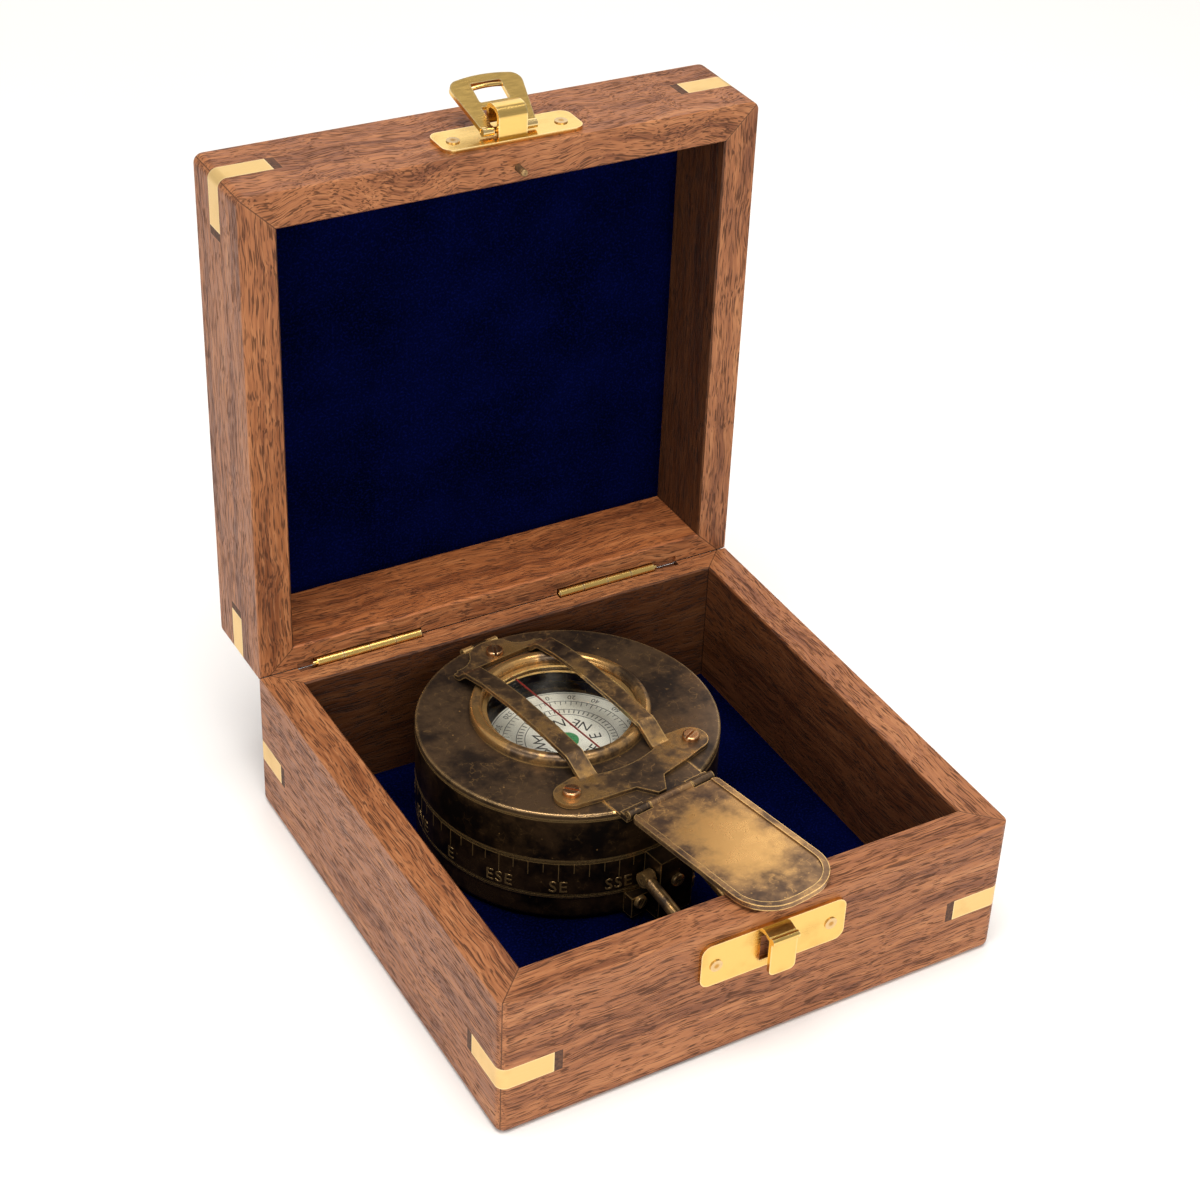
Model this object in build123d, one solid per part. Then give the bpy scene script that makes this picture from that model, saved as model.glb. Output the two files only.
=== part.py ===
"""Hardwood compass box, lid open, with a brass flap compass lying inside it.

Millimetres, +Z up. The origin is the centre of the base's underside. -Y is the latch side and +X is
to the right of someone facing the latch. Every lid piece is drawn in the closed place first and then
turned open about the hinge line.
"""
from build123d import *
from math import cos, radians, sin
import os

# Case of two mitred frames
box_width = 115.0
box_depth = 113.0
base_height = 33.6
lid_height = 22.8
wall = 7.8
rim_gap = 0.1
corner_round = 2.0
edge_round = 1.6
rim_round = 0.35
panel_rabbet = 3.5
base_panel_thickness = 3.0
lid_panel_thickness = 4.0
velvet_thickness = 0.9
velvet_gap = 0.1
panel_gap = 0.2
lid_open_angle = 90.0

# Brass corner keys let in across the mitres
key_length = 11.5
key_height = 5.0
key_depth = 1.6
filler_length = 1.8
base_key_level = 14.4
lid_key_level = 11.8

# Butt hinges, their leaves in saw kerfs along the back rims
hinge_setback = 2.2
hinge_length = 24.4
hinge_left_x = -32.6
hinge_right_x = 25.8
barrel_radius = 1.2
barrel_groove_gap = 0.3
knuckle_gap = 0.12
hinge_pin_radius = 0.6
hinge_pin_proud = 0.8
pin_fit = 0.04
leaf_thickness = 0.8
leaf_reach = 7.5
kerf_gap = 0.05
mortise_left_spare = 4.0
mortise_right_spare = 5.9
stop_gap = 0.12
bevel_spare = 2.0
knuckle_count = 4

# Latch plates with their nails
latch_x = 1.6
plate_thickness = 0.9
plate_round = 2.2
base_plate_x = 1.2
base_plate_width = 33.0
base_plate_height = 10.3
base_plate_below_rim = 3.3
base_nail_pitch = 26.2
base_nail_below_rim = 8.7
lid_plate_x = 2.0
lid_plate_width = 31.1
lid_plate_height = 8.8
lid_plate_above_rim = 1.6
lid_nail_x = 1.85
lid_nail_pitch = 24.0
lid_nail_above_rim = 5.5
nail_head_radius = 1.35
nail_head_height = 0.25
nail_shank_radius = 0.6
nail_length = 5.0

# Hook lanced out of the base plate, and the lid plate's curl
strip_thickness = 0.9
hook_width = 6.0
hook_below_rim = 4.4
hook_root_out = 0.6
hook_out = 3.3
hook_fall = 0.6
hook_drop = 9.4
hook_bend = 0.8
hook_end_round = 1.3
hook_bead_radius = 0.75
hook_bead_out = 3.75
lance_width = 7.2
lance_height = 6.2
lance_below_rim = 5.4
curl_width = 6.4
curl_above_rim = 2.6
curl_length = 5.4
curl_height = 7.2
curl_bend = 1.7
curl_tip_height = 2.6

# Hasp
pivot_above_rim = 4.45
pivot_out = 2.15
pivot_radius = 0.65
hasp_sleeve_wall = 0.3
hasp_rest_angle = 25.0
hasp_thickness = 1.0
hasp_root_width = 12.0
hasp_end_width = 16.6
hasp_length = 13.9
hasp_bulge = 1.2
hasp_corner_round = 2.4
hasp_window_round = 0.4
notch_width = 7.2
notch_reach = 5.7
window_start = 6.9
window_end = 11.9
window_width = 6.7
spring_bar_reach = 11.0
spring_bar_radius = 0.45
spring_bar_bow = 0.35

# Locating pin between the front rims
locating_x = 1.4
locating_inset = 4.5
locating_radius = 0.75
locating_length = 3.2
locating_seat = 4.0
locating_gap = 0.3
locating_round = 0.4

# Compass, turned in the box and lying on the velvet
compass_x = -4.9
compass_gap_behind = 1.5
compass_turn = 9.0
case_radius = 32.1
compass_below_rim = 3.2
bottom_height = 6.25
bottom_band_step = 0.2
bottom_edge_round = 1.8
number_ring_height = 9.7
number_groove = 0.25
number_groove_low = 0.5
number_groove_high = 0.7
part_line = 0.15
bowl_floor = 2.0
drum_wall = 5.6
spigot_inset = 3.1
spigot_height = 18.0
running_gap = 0.1
glass_ledge_drop = 3.1
glass_thickness = 1.2
card_glass_inset = 4.7
glass_ring_width = 1.9
glass_ring_height = 0.8

# Card on its pivot
card_radius = 17.0
card_thickness = 0.4
card_drop = 4.7
hub_radius = 2.4
hub_height = 0.7
cup_radius = 1.6
cup_depth = 2.6
cup_wall = 0.5
cup_ceiling = 0.15
magnet_length = 24.0
magnet_width = 2.4
magnet_thickness = 1.0
post_radius = 1.5
post_neck_radius = 0.8
post_tip_radius = 0.3
post_taper = 3.0

# Cover with its window
cover_gap = 0.2
cover_thickness = 1.5
cover_edge_round = 0.45
window_back = 2.8
window_hole_radius = 17.3
bezel_radius = 19.1
bezel_inner_radius = 16.5
bezel_height = 2.6
bezel_round = 1.2
bezel_fit = 0.03
bezel_ledge = 0.6
bezel_ledge_thickness = 0.5
window_glass_fit = 0.05
window_ring_width = 1.0
window_ring_height = 0.5
hairline_width = 0.4
hairline_thickness = 0.12
hairline_end_gap = 0.2

# Strap guard over the window
guard_thickness = 1.0
guard_lift = 0.15
strap_width = 4.1
strap_offset = 9.4
strap_rise_back = 21.4
strap_rise_height = 3.1
strap_back = 15.0
strap_back_height = 4.2
strap_crest_back = 6.0
strap_crest_height = 4.7
strap_middle_front = 6.0
strap_middle_height = 4.3
strap_front = 14.0
strap_front_height = 3.55
strap_bend = 2.5
strap_rear_tail = 1.0
strap_rear_foot = 0.5
strap_front_tail = 1.6
strap_front_foot = 1.6
front_plate_near = 20.2
front_plate_overlap = 3.0
front_body_half_width = 11.3
front_notch_y = 26.1
front_tip = 31.3
front_tip_y = 27.4
front_tip_half_width = 3.6
front_point_half_width = 1.0
ear_x = 15.6
ear_y = 21.4
ear_radius = 3.7
guard_inner_radius = 23.5
rear_plate_near = 24.2
rear_plate_far = 31.0
rear_shoulder_half_width = 11.4
rear_shoulder_depth = 1.6
rear_shoulder_taper = 1.2
rear_neck_half_width = 4.6
rear_sweep_side = 1.6
rear_sweep_back = 2.8
rear_end_rise = 1.6
rear_screw_y = 26.3
screw_shank_radius = 0.9
screw_slot_width = 0.55
screw_slot_depth = 0.6
screw_head_round = 0.35
guard_screw_head_radius = 1.8
guard_screw_head_height = 1.2
guard_screw_turns = (-52.0, 18.0, 62.0)

# Rear hinge of the cover
cover_axis_inset = 0.2
cover_axis_rise = 1.3
cover_knuckle_radius = 0.95
cover_knuckle_gap = 0.25
cover_hinge_half_width = 4.5
cover_centre_half_width = 2.0
cover_pin_radius = 0.5
cover_leaf_foot = 17.6
cover_leaf_seat = 1.6
cover_leaf_gap = 0.35
leaf_fit = 0.02

# Flap in front, hinged on a leaf let into the cover
flap_axis_overhang = 1.5
flap_axis_rise = 3.1
flap_knuckle_radius = 0.95
flap_pin_radius = 0.45
flap_leaf_half_width = 11.0
flap_leaf_back = 22.0
flap_leaf_inset = 0.1
flap_leaf_thickness = 0.6
flap_leaf_fit = 0.03
flap_leaf_neck = 0.6
flap_leaf_shoulder = 0.4
flap_centre_half_width = 5.4
flap_length = 41.2
flap_half_width = 11.1
flap_thickness = 0.8
flap_slope = 2.8
flap_drop = 0.6
flap_corner = 8.8
flap_crown = 1.6
flap_root_gap = 0.35
flap_root_round = 1.4
flap_root_tongue = 1.2
flap_border_width = 1.4
flap_border_height = 0.35

# Thumb ring and its bracket
bracket_half_width = 4.4
bracket_reach = 5.3
bracket_foot_level = 1.0
bracket_top = 16.0
bracket_gap = 0.3
bracket_foot_half_width = 8.4
bracket_foot_reach = 1.5
bracket_foot_bite = 10.1
bracket_fit = 0.02
foot_screw_x = 6.4
foot_screw_level = 4.6
foot_screw_length = 1.2
foot_screw_turns = (60.0, 10.0)
block_screw_level = 10.1
block_screw_length = 1.5
block_screw_turn = 35.0
bracket_screw_head_radius = 1.5
bracket_screw_head_height = 0.9
ring_axis_reach = 2.9
ring_axis_level = 11.6
ring_rod_radius = 0.8
ring_wire_radius = 1.35
ring_eye_radius = 1.7
ring_half_width = 6.1
ring_reach = 15.5
ring_bend = 4.5
ring_slope = 16.0

# How far a cutting shape runs past the faces it cuts
overcut = 1.0

# Places that follow from the sizes above
lid_rim_level = base_height + rim_gap
lid_top_level = lid_rim_level + lid_height
inner_width = box_width - 2 * wall
inner_depth = box_depth - 2 * wall
front_face = -box_depth / 2
hinge_axis_y = box_depth / 2 - hinge_setback
hinge_axis_z = base_height + rim_gap / 2
hinge_axis = Axis((0, hinge_axis_y, hinge_axis_z), (1, 0, 0))
floor_level = base_panel_thickness + velvet_thickness
compass_y = box_depth / 2 - wall - case_radius - compass_gap_behind
case_height = base_height - floor_level - compass_below_rim
bowl_inner_radius = case_radius - drum_wall
spigot_radius = case_radius - spigot_inset
glass_ledge = case_height - glass_ledge_drop
card_glass_radius = case_radius - card_glass_inset
card_level = case_height - card_drop
cover_axis_back = case_radius - cover_axis_inset
cover_axis_level = case_height + cover_axis_rise
flap_axis_front = case_radius + flap_axis_overhang
flap_axis_level = case_height + flap_axis_rise
flap_leaf_front = case_radius - flap_leaf_inset
bracket_front = case_radius + bracket_reach
bracket_foot_front = case_radius + bracket_foot_reach
bracket_foot_back = case_radius - bracket_foot_bite
ring_axis_front = case_radius + ring_axis_reach
numbers_low = bottom_height + part_line
numbers_high = numbers_low + number_ring_height
cover_low = case_height + cover_gap
cover_high = cover_low + cover_thickness
guard_low = cover_high + guard_lift
guard_high = guard_low + guard_thickness
pivot_level = lid_rim_level + pivot_above_rim
pivot_y = front_face - pivot_out
base_nail_level = base_height - base_nail_below_rim
lid_nail_level = lid_rim_level + lid_nail_above_rim


def block(x_range, y_range, z_range):
    """A plain block between three pairs of faces."""
    ranges = (x_range, y_range, z_range)
    size = [high - low for low, high in ranges]
    middle = [(high + low) / 2 for low, high in ranges]
    return Pos(*middle) * Box(*size)


def disc(radius, low, high, x=0.0, y=0.0):
    """An upright cylinder between two levels."""
    return Pos(x, y, (low + high) / 2) * Cylinder(radius, high - low)


def tube(outer, inner, low, high, x=0.0, y=0.0):
    """An upright tube between two levels."""
    return disc(outer, low, high, x, y) - disc(inner, low - overcut, high + overcut, x, y)


def rod_x(radius, left, right, y, z):
    """A cylinder that lies along X."""
    return Pos((left + right) / 2, y, z) * Rot(0, 90, 0) * Cylinder(radius, right - left)


def rod_y(radius, front, back, x, z):
    """A cylinder that lies along Y."""
    return Pos(x, (front + back) / 2, z) * Rot(90, 0, 0) * Cylinder(radius, back - front)


def strip(points, bend, thickness, width, x=0.0):
    """A bent metal strip: a path of (y, z) points, given a thickness and a width along X."""
    face = trace(FilletPolyline(*points, radius=bend), thickness)
    upright = Plane.YZ * extrude(face, amount=width / 2, both=True)
    return Pos(x, 0, 0) * upright


def solids_of(shape):
    """The separate solids of a shape, as one group."""
    found = shape.solids()
    return found[0] if len(found) == 1 else Compound(children=list(found))


def open_lid(shape):
    """Turn a piece from its place in the closed lid to its place in the open lid."""
    return shape.rotate(hinge_axis, -lid_open_angle)


# Case frames

def corner_shell(low, high, length, start=0.0):
    """The outer skin of the frame near its four corners, from start to length along each face."""
    outer = block((-box_width / 2 - overcut, box_width / 2 + overcut),
                  (-box_depth / 2 - overcut, box_depth / 2 + overcut), (low, high))
    inner = block((-box_width / 2 + key_depth, box_width / 2 - key_depth),
                  (-box_depth / 2 + key_depth, box_depth / 2 - key_depth),
                  (low - overcut, high + overcut))
    shell = outer - inner
    pieces = []
    for side_x in (-1, 1):
        for side_y in (-1, 1):
            x_far = side_x * (box_width / 2 + overcut)
            y_far = side_y * (box_depth / 2 + overcut)
            x_near = side_x * (box_width / 2 - length)
            y_near = side_y * (box_depth / 2 - length)
            corner = block(sorted((x_far, x_near)), sorted((y_far, y_near)), (low, high))
            if start:
                x_keep = side_x * (box_width / 2 - start)
                y_keep = side_y * (box_depth / 2 - start)
                corner -= block(sorted((x_far, x_keep)), sorted((y_far, y_keep)),
                                (low - overcut, high + overcut))
            pieces += (shell & corner).solids()
    return pieces


def outer_block(height):
    """The frame's outside: round corners, an eased closed face below and a crisp rim above."""
    body = block((-box_width / 2, box_width / 2), (-box_depth / 2, box_depth / 2), (0, height))
    body = fillet(body.edges().filter_by(Axis.Z), corner_round)
    body = fillet(body.faces().sort_by(Axis.Z)[0].edges(), edge_round)
    return fillet(body.faces().sort_by(Axis.Z)[-1].edges(), rim_round)


def inner_hollow(height, panel_level):
    """What is cut from the block: the hollow, the panel's rabbet and an eased inner rim."""
    hollow = block((-inner_width / 2, inner_width / 2), (-inner_depth / 2, inner_depth / 2),
                   (-overcut, height + overcut))
    rabbet = block((-inner_width / 2 - panel_rabbet, inner_width / 2 + panel_rabbet),
                   (-inner_depth / 2 - panel_rabbet, inner_depth / 2 + panel_rabbet),
                   (-overcut, panel_level))
    low = Plane.XY.offset(height - rim_round) * Rectangle(inner_width, inner_depth)
    wide = 2 * rim_round
    high = Plane.XY.offset(height) * Rectangle(inner_width + wide, inner_depth + wide)
    return hollow + rabbet + loft([low, high])


def mortise_span(centre, side):
    """The ends along X of one hinge's barrel groove, which is cut longer on the outer side."""
    half = hinge_length / 2 + barrel_groove_gap
    if side < 0:
        return centre - half - mortise_left_spare, centre + half
    return centre - half, centre + half + mortise_right_spare


def hinge_cuts(height):
    """Barrel grooves, saw kerfs for the leaves and the bevel that stops the lid when it stands open."""
    axis_z = height + rim_gap / 2
    cuts = []
    for centre, side in ((hinge_left_x, -1), (hinge_right_x, 1)):
        left, right = mortise_span(centre, side)
        cuts.append(rod_x(barrel_radius + barrel_groove_gap, left, right, hinge_axis_y, axis_z))
        half = leaf_thickness / 2 + kerf_gap
        kerf_half = hinge_length / 2 + kerf_gap
        cuts.append(block((centre - kerf_half, centre + kerf_half),
                          (hinge_axis_y - half, hinge_axis_y + half),
                          (axis_z - leaf_reach - kerf_gap, axis_z)))
    reach = hinge_setback + bevel_spare
    start = hinge_axis_y - stop_gap
    bevel = Polyline((start, height + overcut), (start, height), (start + reach, height - reach),
                     (start + reach, height + overcut), close=True)
    cuts.append(extrude(Plane.YZ * make_face(bevel), amount=box_width, both=True))
    return cuts


def nail_places(centre, pitch):
    """The two nails of a latch plate along X."""
    return [centre - pitch / 2, centre + pitch / 2]


def frame_half(height, panel_level, key_level, nails, nail_level):
    """One frame with its closed face at z = 0 and its rim above."""
    frame = outer_block(height) - inner_hollow(height, panel_level)
    low = key_level - key_height / 2
    frame -= corner_shell(low, low + key_height, key_length + filler_length)
    frame -= hinge_cuts(height)
    for x in nails:
        frame -= rod_y(nail_shank_radius, front_face - overcut, front_face + nail_length, x, nail_level)
    return frame


def four_walls(frame):
    """Part a frame along the mitres at its corners."""
    x, y = box_width / 2, box_depth / 2
    outlines = {
        "front": [(-x, -y), (x, -y), (x - wall, -y + wall), (-x + wall, -y + wall)],
        "back": [(-x, y), (-x + wall, y - wall), (x - wall, y - wall), (x, y)],
        "left": [(-x, -y), (-x + wall, -y + wall), (-x + wall, y - wall), (-x, y)],
        "right": [(x, -y), (x, y), (x - wall, y - wall), (x - wall, -y + wall)],
    }
    walls = {}
    for side, points in outlines.items():
        prism = extrude(make_face(Polyline(*points, close=True)), amount=2 * base_height, both=True)
        walls[side] = solids_of(frame & prism)
    return walls


def key_pieces(height, key_level):
    """The four brass corner keys and the eight dark fillers beside them."""
    low = key_level - key_height / 2
    outside = outer_block(height)
    keys = [piece & outside for piece in corner_shell(low, low + key_height, key_length)]
    fillers = [piece & outside
               for piece in corner_shell(low, low + key_height, key_length + filler_length, key_length)]
    return Compound(children=[k.solid() for k in keys]), Compound(children=[f.solid() for f in fillers])


def panel(low, high):
    """A flat panel seated in the frame's rabbet."""
    half_width = inner_width / 2 + panel_rabbet - panel_gap
    half_depth = inner_depth / 2 + panel_rabbet - panel_gap
    return block((-half_width, half_width), (-half_depth, half_depth), (low, high))


def velvet(low):
    """The velvet-covered card that lines a panel."""
    return block((-inner_width / 2 + velvet_gap, inner_width / 2 - velvet_gap),
                 (-inner_depth / 2 + velvet_gap, inner_depth / 2 - velvet_gap),
                 (low, low + velvet_thickness))


def locating_pin():
    """Small pin driven into the lid's front rim, pointing at the base."""
    y = front_face + locating_inset
    pin = disc(locating_radius, lid_rim_level - locating_length, lid_rim_level + locating_seat,
               locating_x, y)
    return fillet(pin.edges().sort_by(Axis.Z)[0], locating_round)


def base_pieces():
    """The base frame, its floor and its lining."""
    nails = nail_places(base_plate_x, base_nail_pitch)
    frame = frame_half(base_height, base_panel_thickness, base_key_level, nails, base_nail_level)
    frame -= disc(locating_radius + locating_gap, base_height - locating_length - locating_gap,
                  base_height + overcut, locating_x, front_face + locating_inset)
    nodes = {f"base_{side}_wall": piece for side, piece in four_walls(frame).items()}
    nodes["base_floor_panel"] = panel(0, base_panel_thickness)
    nodes["base_velvet"] = velvet(base_panel_thickness)
    nodes["base_corner_keys"], nodes["base_key_fillers"] = key_pieces(base_height, base_key_level)
    return nodes


def lid_pieces():
    """The lid frame, its top panel and its lining, in the closed place."""
    nails = nail_places(lid_nail_x, lid_nail_pitch)
    key_level = lid_height - lid_key_level
    frame = frame_half(lid_height, lid_panel_thickness, key_level, nails, lid_height - lid_nail_above_rim)
    frame -= disc(locating_radius, lid_height - locating_seat, lid_height + overcut,
                  locating_x, front_face + locating_inset)
    nodes = {f"lid_{side}_wall": piece for side, piece in four_walls(frame).items()}
    nodes["lid_top_panel"] = panel(0, lid_panel_thickness)
    nodes["lid_velvet"] = velvet(lid_panel_thickness)
    nodes["lid_corner_keys"], nodes["lid_key_fillers"] = key_pieces(lid_height, key_level)
    turned = {name: Pos(0, 0, lid_top_level) * mirror(shape, Plane.XY) for name, shape in nodes.items()}
    turned["locating_pin"] = locating_pin()
    return turned


# Case hinges

def knuckle_ends(centre, index):
    """The ends along X of one of the barrel knuckles."""
    step = hinge_length / knuckle_count
    left = centre - hinge_length / 2 + index * step
    return left + knuckle_gap / 2, left + step - knuckle_gap / 2


def hinge_leaf(centre, upward):
    """One leaf with its two knuckles; the upper leaf has the second and fourth."""
    own = range(1, knuckle_count, 2) if upward else range(0, knuckle_count, 2)
    other = range(0, knuckle_count, 2) if upward else range(1, knuckle_count, 2)
    reach = leaf_reach if upward else -leaf_reach
    z_range = sorted((hinge_axis_z, hinge_axis_z + reach))
    leaf = block((centre - hinge_length / 2, centre + hinge_length / 2),
                 (hinge_axis_y - leaf_thickness / 2, hinge_axis_y + leaf_thickness / 2), z_range)
    for index in other:
        left, right = knuckle_ends(centre, index)
        leaf -= rod_x(barrel_radius + barrel_groove_gap / 2, left - knuckle_gap, right + knuckle_gap,
                      hinge_axis_y, hinge_axis_z)
    for index in own:
        left, right = knuckle_ends(centre, index)
        leaf += rod_x(barrel_radius, left, right, hinge_axis_y, hinge_axis_z)
    bore = hinge_pin_radius + pin_fit
    return leaf - rod_x(bore, centre - hinge_length, centre + hinge_length, hinge_axis_y, hinge_axis_z)


def hinge_pin(centre, side):
    """The hinge's pin, a little proud at its outer end."""
    near, far = sorted((-side * hinge_length / 2, side * (hinge_length / 2 + hinge_pin_proud)))
    return rod_x(hinge_pin_radius, centre + near, centre + far, hinge_axis_y, hinge_axis_z)


# Latch

def latch_plate(x, width, height, low):
    """A flat plate with round corners on the front face, above a level."""
    plane = Plane(origin=(x, front_face, low + height / 2), x_dir=(1, 0, 0), z_dir=(0, -1, 0))
    return extrude(plane * RectangleRounded(width, height, plate_round), amount=plate_thickness)


def drilled_plate(plate, nails, level):
    """A latch plate with its nail holes."""
    for x in nails:
        plate -= rod_y(nail_shank_radius, front_face - curl_height, front_face + overcut, x, level)
    return plate


def base_latch_plate():
    """The base plate with the hook lanced out of it, beaded at the top to hold the hasp's spring bar."""
    low = base_height - base_plate_below_rim - base_plate_height
    plate = latch_plate(base_plate_x, base_plate_width, base_plate_height, low)
    lance_top = base_height - lance_below_rim
    plate -= block((latch_x - lance_width / 2, latch_x + lance_width / 2),
                   (front_face - 2 * plate_thickness, front_face + overcut),
                   (lance_top - lance_height, lance_top))
    top = base_height - hook_below_rim
    points = [(front_face - hook_root_out, top), (front_face - hook_out, top - hook_fall),
              (front_face - hook_out, top - hook_drop)]
    hook = strip(points, hook_bend, strip_thickness, hook_width, latch_x)
    hook = fillet(hook.edges().filter_by(Axis.Y).sort_by(Axis.Z)[:2], hook_end_round)
    plate += hook + rod_x(hook_bead_radius, latch_x - hook_width / 2, latch_x + hook_width / 2,
                          front_face - hook_bead_out, top - hook_fall)
    return drilled_plate(plate, nail_places(base_plate_x, base_nail_pitch), base_nail_level)


def lid_latch_plate():
    """The lid plate with the curled strip that holds the hasp's pivot."""
    low = lid_rim_level + lid_plate_above_rim
    near = lid_rim_level + curl_above_rim + strip_thickness / 2
    far = near + curl_length - strip_thickness
    y_low = front_face - plate_thickness / 2
    y_top = front_face - curl_height + strip_thickness / 2
    y_tip = front_face - curl_tip_height
    points = [(y_low, near), (y_top, near), (y_top, far), (y_tip, far)]
    plate = latch_plate(lid_plate_x, lid_plate_width, lid_plate_height, low)
    plate += strip(points, curl_bend, strip_thickness, curl_width, latch_x)
    return drilled_plate(plate, nail_places(lid_nail_x, lid_nail_pitch), lid_nail_level)


def latch_nails(centre, pitch, level):
    """Two round-headed nails through a latch plate."""
    pieces = []
    for x in nail_places(centre, pitch):
        face = front_face - plate_thickness
        shank = rod_y(nail_shank_radius, face, front_face + nail_length, x, level)
        head = rod_y(nail_head_radius, face - nail_head_height, face, x, level)
        pieces.append((shank + head).solid())
    return Compound(children=pieces)


def hasp_outline():
    """The hasp seen flat: pivot at the origin, free end along +Y, convex at the end."""
    root, end = hasp_root_width / 2, hasp_end_width / 2
    shoulder = hasp_length - hasp_bulge
    root_edge = Line((-root, 0), (root, 0))
    sides = [Line((-end, shoulder), (-root, 0)), root_edge, Line((root, 0), (end, shoulder))]
    arc = ThreePointArc((end, shoulder), (0, hasp_length), (-end, shoulder))
    outline = make_face(Curve() + sides + arc)
    outline = fillet(outline.vertices().sort_by(Axis.Y)[-2:], hasp_corner_round)
    notch = Pos(0, notch_reach / 2) * Rectangle(notch_width, notch_reach)
    window = RectangleRounded(window_width, window_end - window_start, hasp_window_round)
    return outline - notch - Pos(0, (window_start + window_end) / 2) * window


def place_hasp(shape):
    """Lay a flat hasp piece on its pivot at the rest angle of the closed lid."""
    tilt = Rot(90 + hasp_rest_angle, 0, 0)
    return Pos(latch_x, pivot_y, pivot_level) * tilt * shape


def hasp_plate():
    """The hasp's stamped plate, with two short sleeves where its legs meet the pivot."""
    half = hasp_thickness / 2
    plate = Pos(0, 0, -half) * extrude(hasp_outline(), amount=hasp_thickness)
    for side in (-1, 1):
        ends = sorted((side * notch_width / 2, side * hasp_root_width / 2))
        plate += rod_x(pivot_radius + hasp_sleeve_wall, *ends, 0, 0)
    plate -= rod_x(pivot_radius, -hasp_root_width, hasp_root_width, 0, 0)
    return place_hasp(plate)


def hasp_pivot_bar():
    """The round bar through the hasp's legs and the lid plate's curl."""
    return place_hasp(rod_x(pivot_radius, -hasp_root_width / 2, hasp_root_width / 2, 0, 0))


def hasp_spring_bar():
    """The wire across the hasp's window, bowed out of the plate towards the hook."""
    half = window_width / 2
    arc = ThreePointArc((-half, spring_bar_reach, 0), (0, spring_bar_reach, spring_bar_bow),
                        (half, spring_bar_reach, 0))
    start = Plane(origin=arc @ 0, z_dir=arc % 0)
    wire = sweep(start * Circle(spring_bar_radius), path=arc)
    inside = block((-half, half), (0, hasp_length), (-hasp_length, hasp_length))
    return place_hasp(wire & inside)


# Compass case, in the compass's own frame: centre of its underside, flap towards -Y

def compass_bowl():
    """Bottom of the case with the tall spigot that the numeral ring turns on."""
    bowl = disc(case_radius - bottom_band_step, 0, bottom_height)
    bowl = fillet(bowl.edges().sort_by(Axis.Z)[0], bottom_edge_round)
    bowl += disc(spigot_radius, bottom_height, spigot_height)
    return bowl - disc(bowl_inner_radius, bowl_floor, spigot_height + overcut)


def compass_upper_case():
    """Upper ring of the case, capping the spigot and carrying the card's glass."""
    low = numbers_high + part_line
    ring = tube(case_radius, bowl_inner_radius, low, case_height)
    ring -= disc(spigot_radius + running_gap / 2, low - overcut, spigot_height + running_gap)
    return ring - disc(card_glass_radius + running_gap, glass_ledge, case_height + overcut)


def numeral_ring():
    """The ring that turns round the case, with a fine groove along each edge."""
    ring = tube(case_radius, spigot_radius + running_gap, numbers_low, numbers_high)
    for level in (numbers_low + number_groove_low, numbers_high - number_groove_high):
        ring -= tube(case_radius + overcut, case_radius - number_groove, level, level + number_groove)
    return ring


def card_glass():
    """The glass over the card."""
    return disc(card_glass_radius, glass_ledge, glass_ledge + glass_thickness)


def card_glass_ring():
    """The ring that holds the card's glass down."""
    low = glass_ledge + glass_thickness
    return tube(card_glass_radius, card_glass_radius - glass_ring_width, low, low + glass_ring_height)


def pivot_post():
    """The pointed post that the card swings on."""
    neck = card_level - post_taper
    post = disc(post_radius, bowl_floor, neck)
    return post + Pos(0, 0, neck + post_taper / 2) * Cone(post_neck_radius, post_tip_radius, post_taper)


def card_hub():
    """The green-capped hub, hollow below so that it rides on the post's point."""
    hub = disc(hub_radius, card_level + card_thickness, card_level + hub_height)
    hub += disc(cup_radius, card_level - cup_depth, card_level + card_thickness)
    return hub - disc(cup_radius - cup_wall, card_level - cup_depth - overcut, card_level + cup_ceiling)


def compass_card():
    """The dial card, round its hub."""
    return tube(card_radius, cup_radius, card_level, card_level + card_thickness)


def card_magnet():
    """The bar magnet under the card, clear of the hub's cup."""
    bar = block((-magnet_width / 2, magnet_width / 2), (-magnet_length / 2, magnet_length / 2),
                (card_level - magnet_thickness, card_level))
    return solids_of(bar - disc(cup_radius, 0, card_level + overcut))


def cover_rod(radius, left, right):
    """A round bar along the cover's hinge line."""
    return rod_x(radius, left, right, cover_axis_back, cover_axis_level)


def cover_bore():
    """The bore for the cover's pin."""
    half = cover_hinge_half_width + pin_fit
    return cover_rod(cover_pin_radius + pin_fit, -half, half)


def cover_hinge_case_leaf():
    """The hinge leaf on the case's back, with the middle knuckle."""
    top = cover_axis_level - cover_knuckle_radius - cover_leaf_gap
    back = cover_axis_back + cover_knuckle_radius
    half, neck_half = cover_hinge_half_width, cover_centre_half_width
    leaf = block((-half, half), (case_radius - cover_leaf_seat, back), (cover_leaf_foot, top))
    leaf += block((-neck_half, neck_half), (case_radius + leaf_fit, back), (top - overcut, cover_axis_level))
    leaf -= disc(case_radius + leaf_fit, cover_leaf_foot - overcut, case_height)
    leaf += cover_rod(cover_knuckle_radius, -neck_half, neck_half)
    return leaf - cover_bore()


def cover_hinge_pin():
    """The pin of the cover's rear hinge."""
    return cover_rod(cover_pin_radius, -cover_hinge_half_width, cover_hinge_half_width)


# Cover and what it carries

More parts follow.
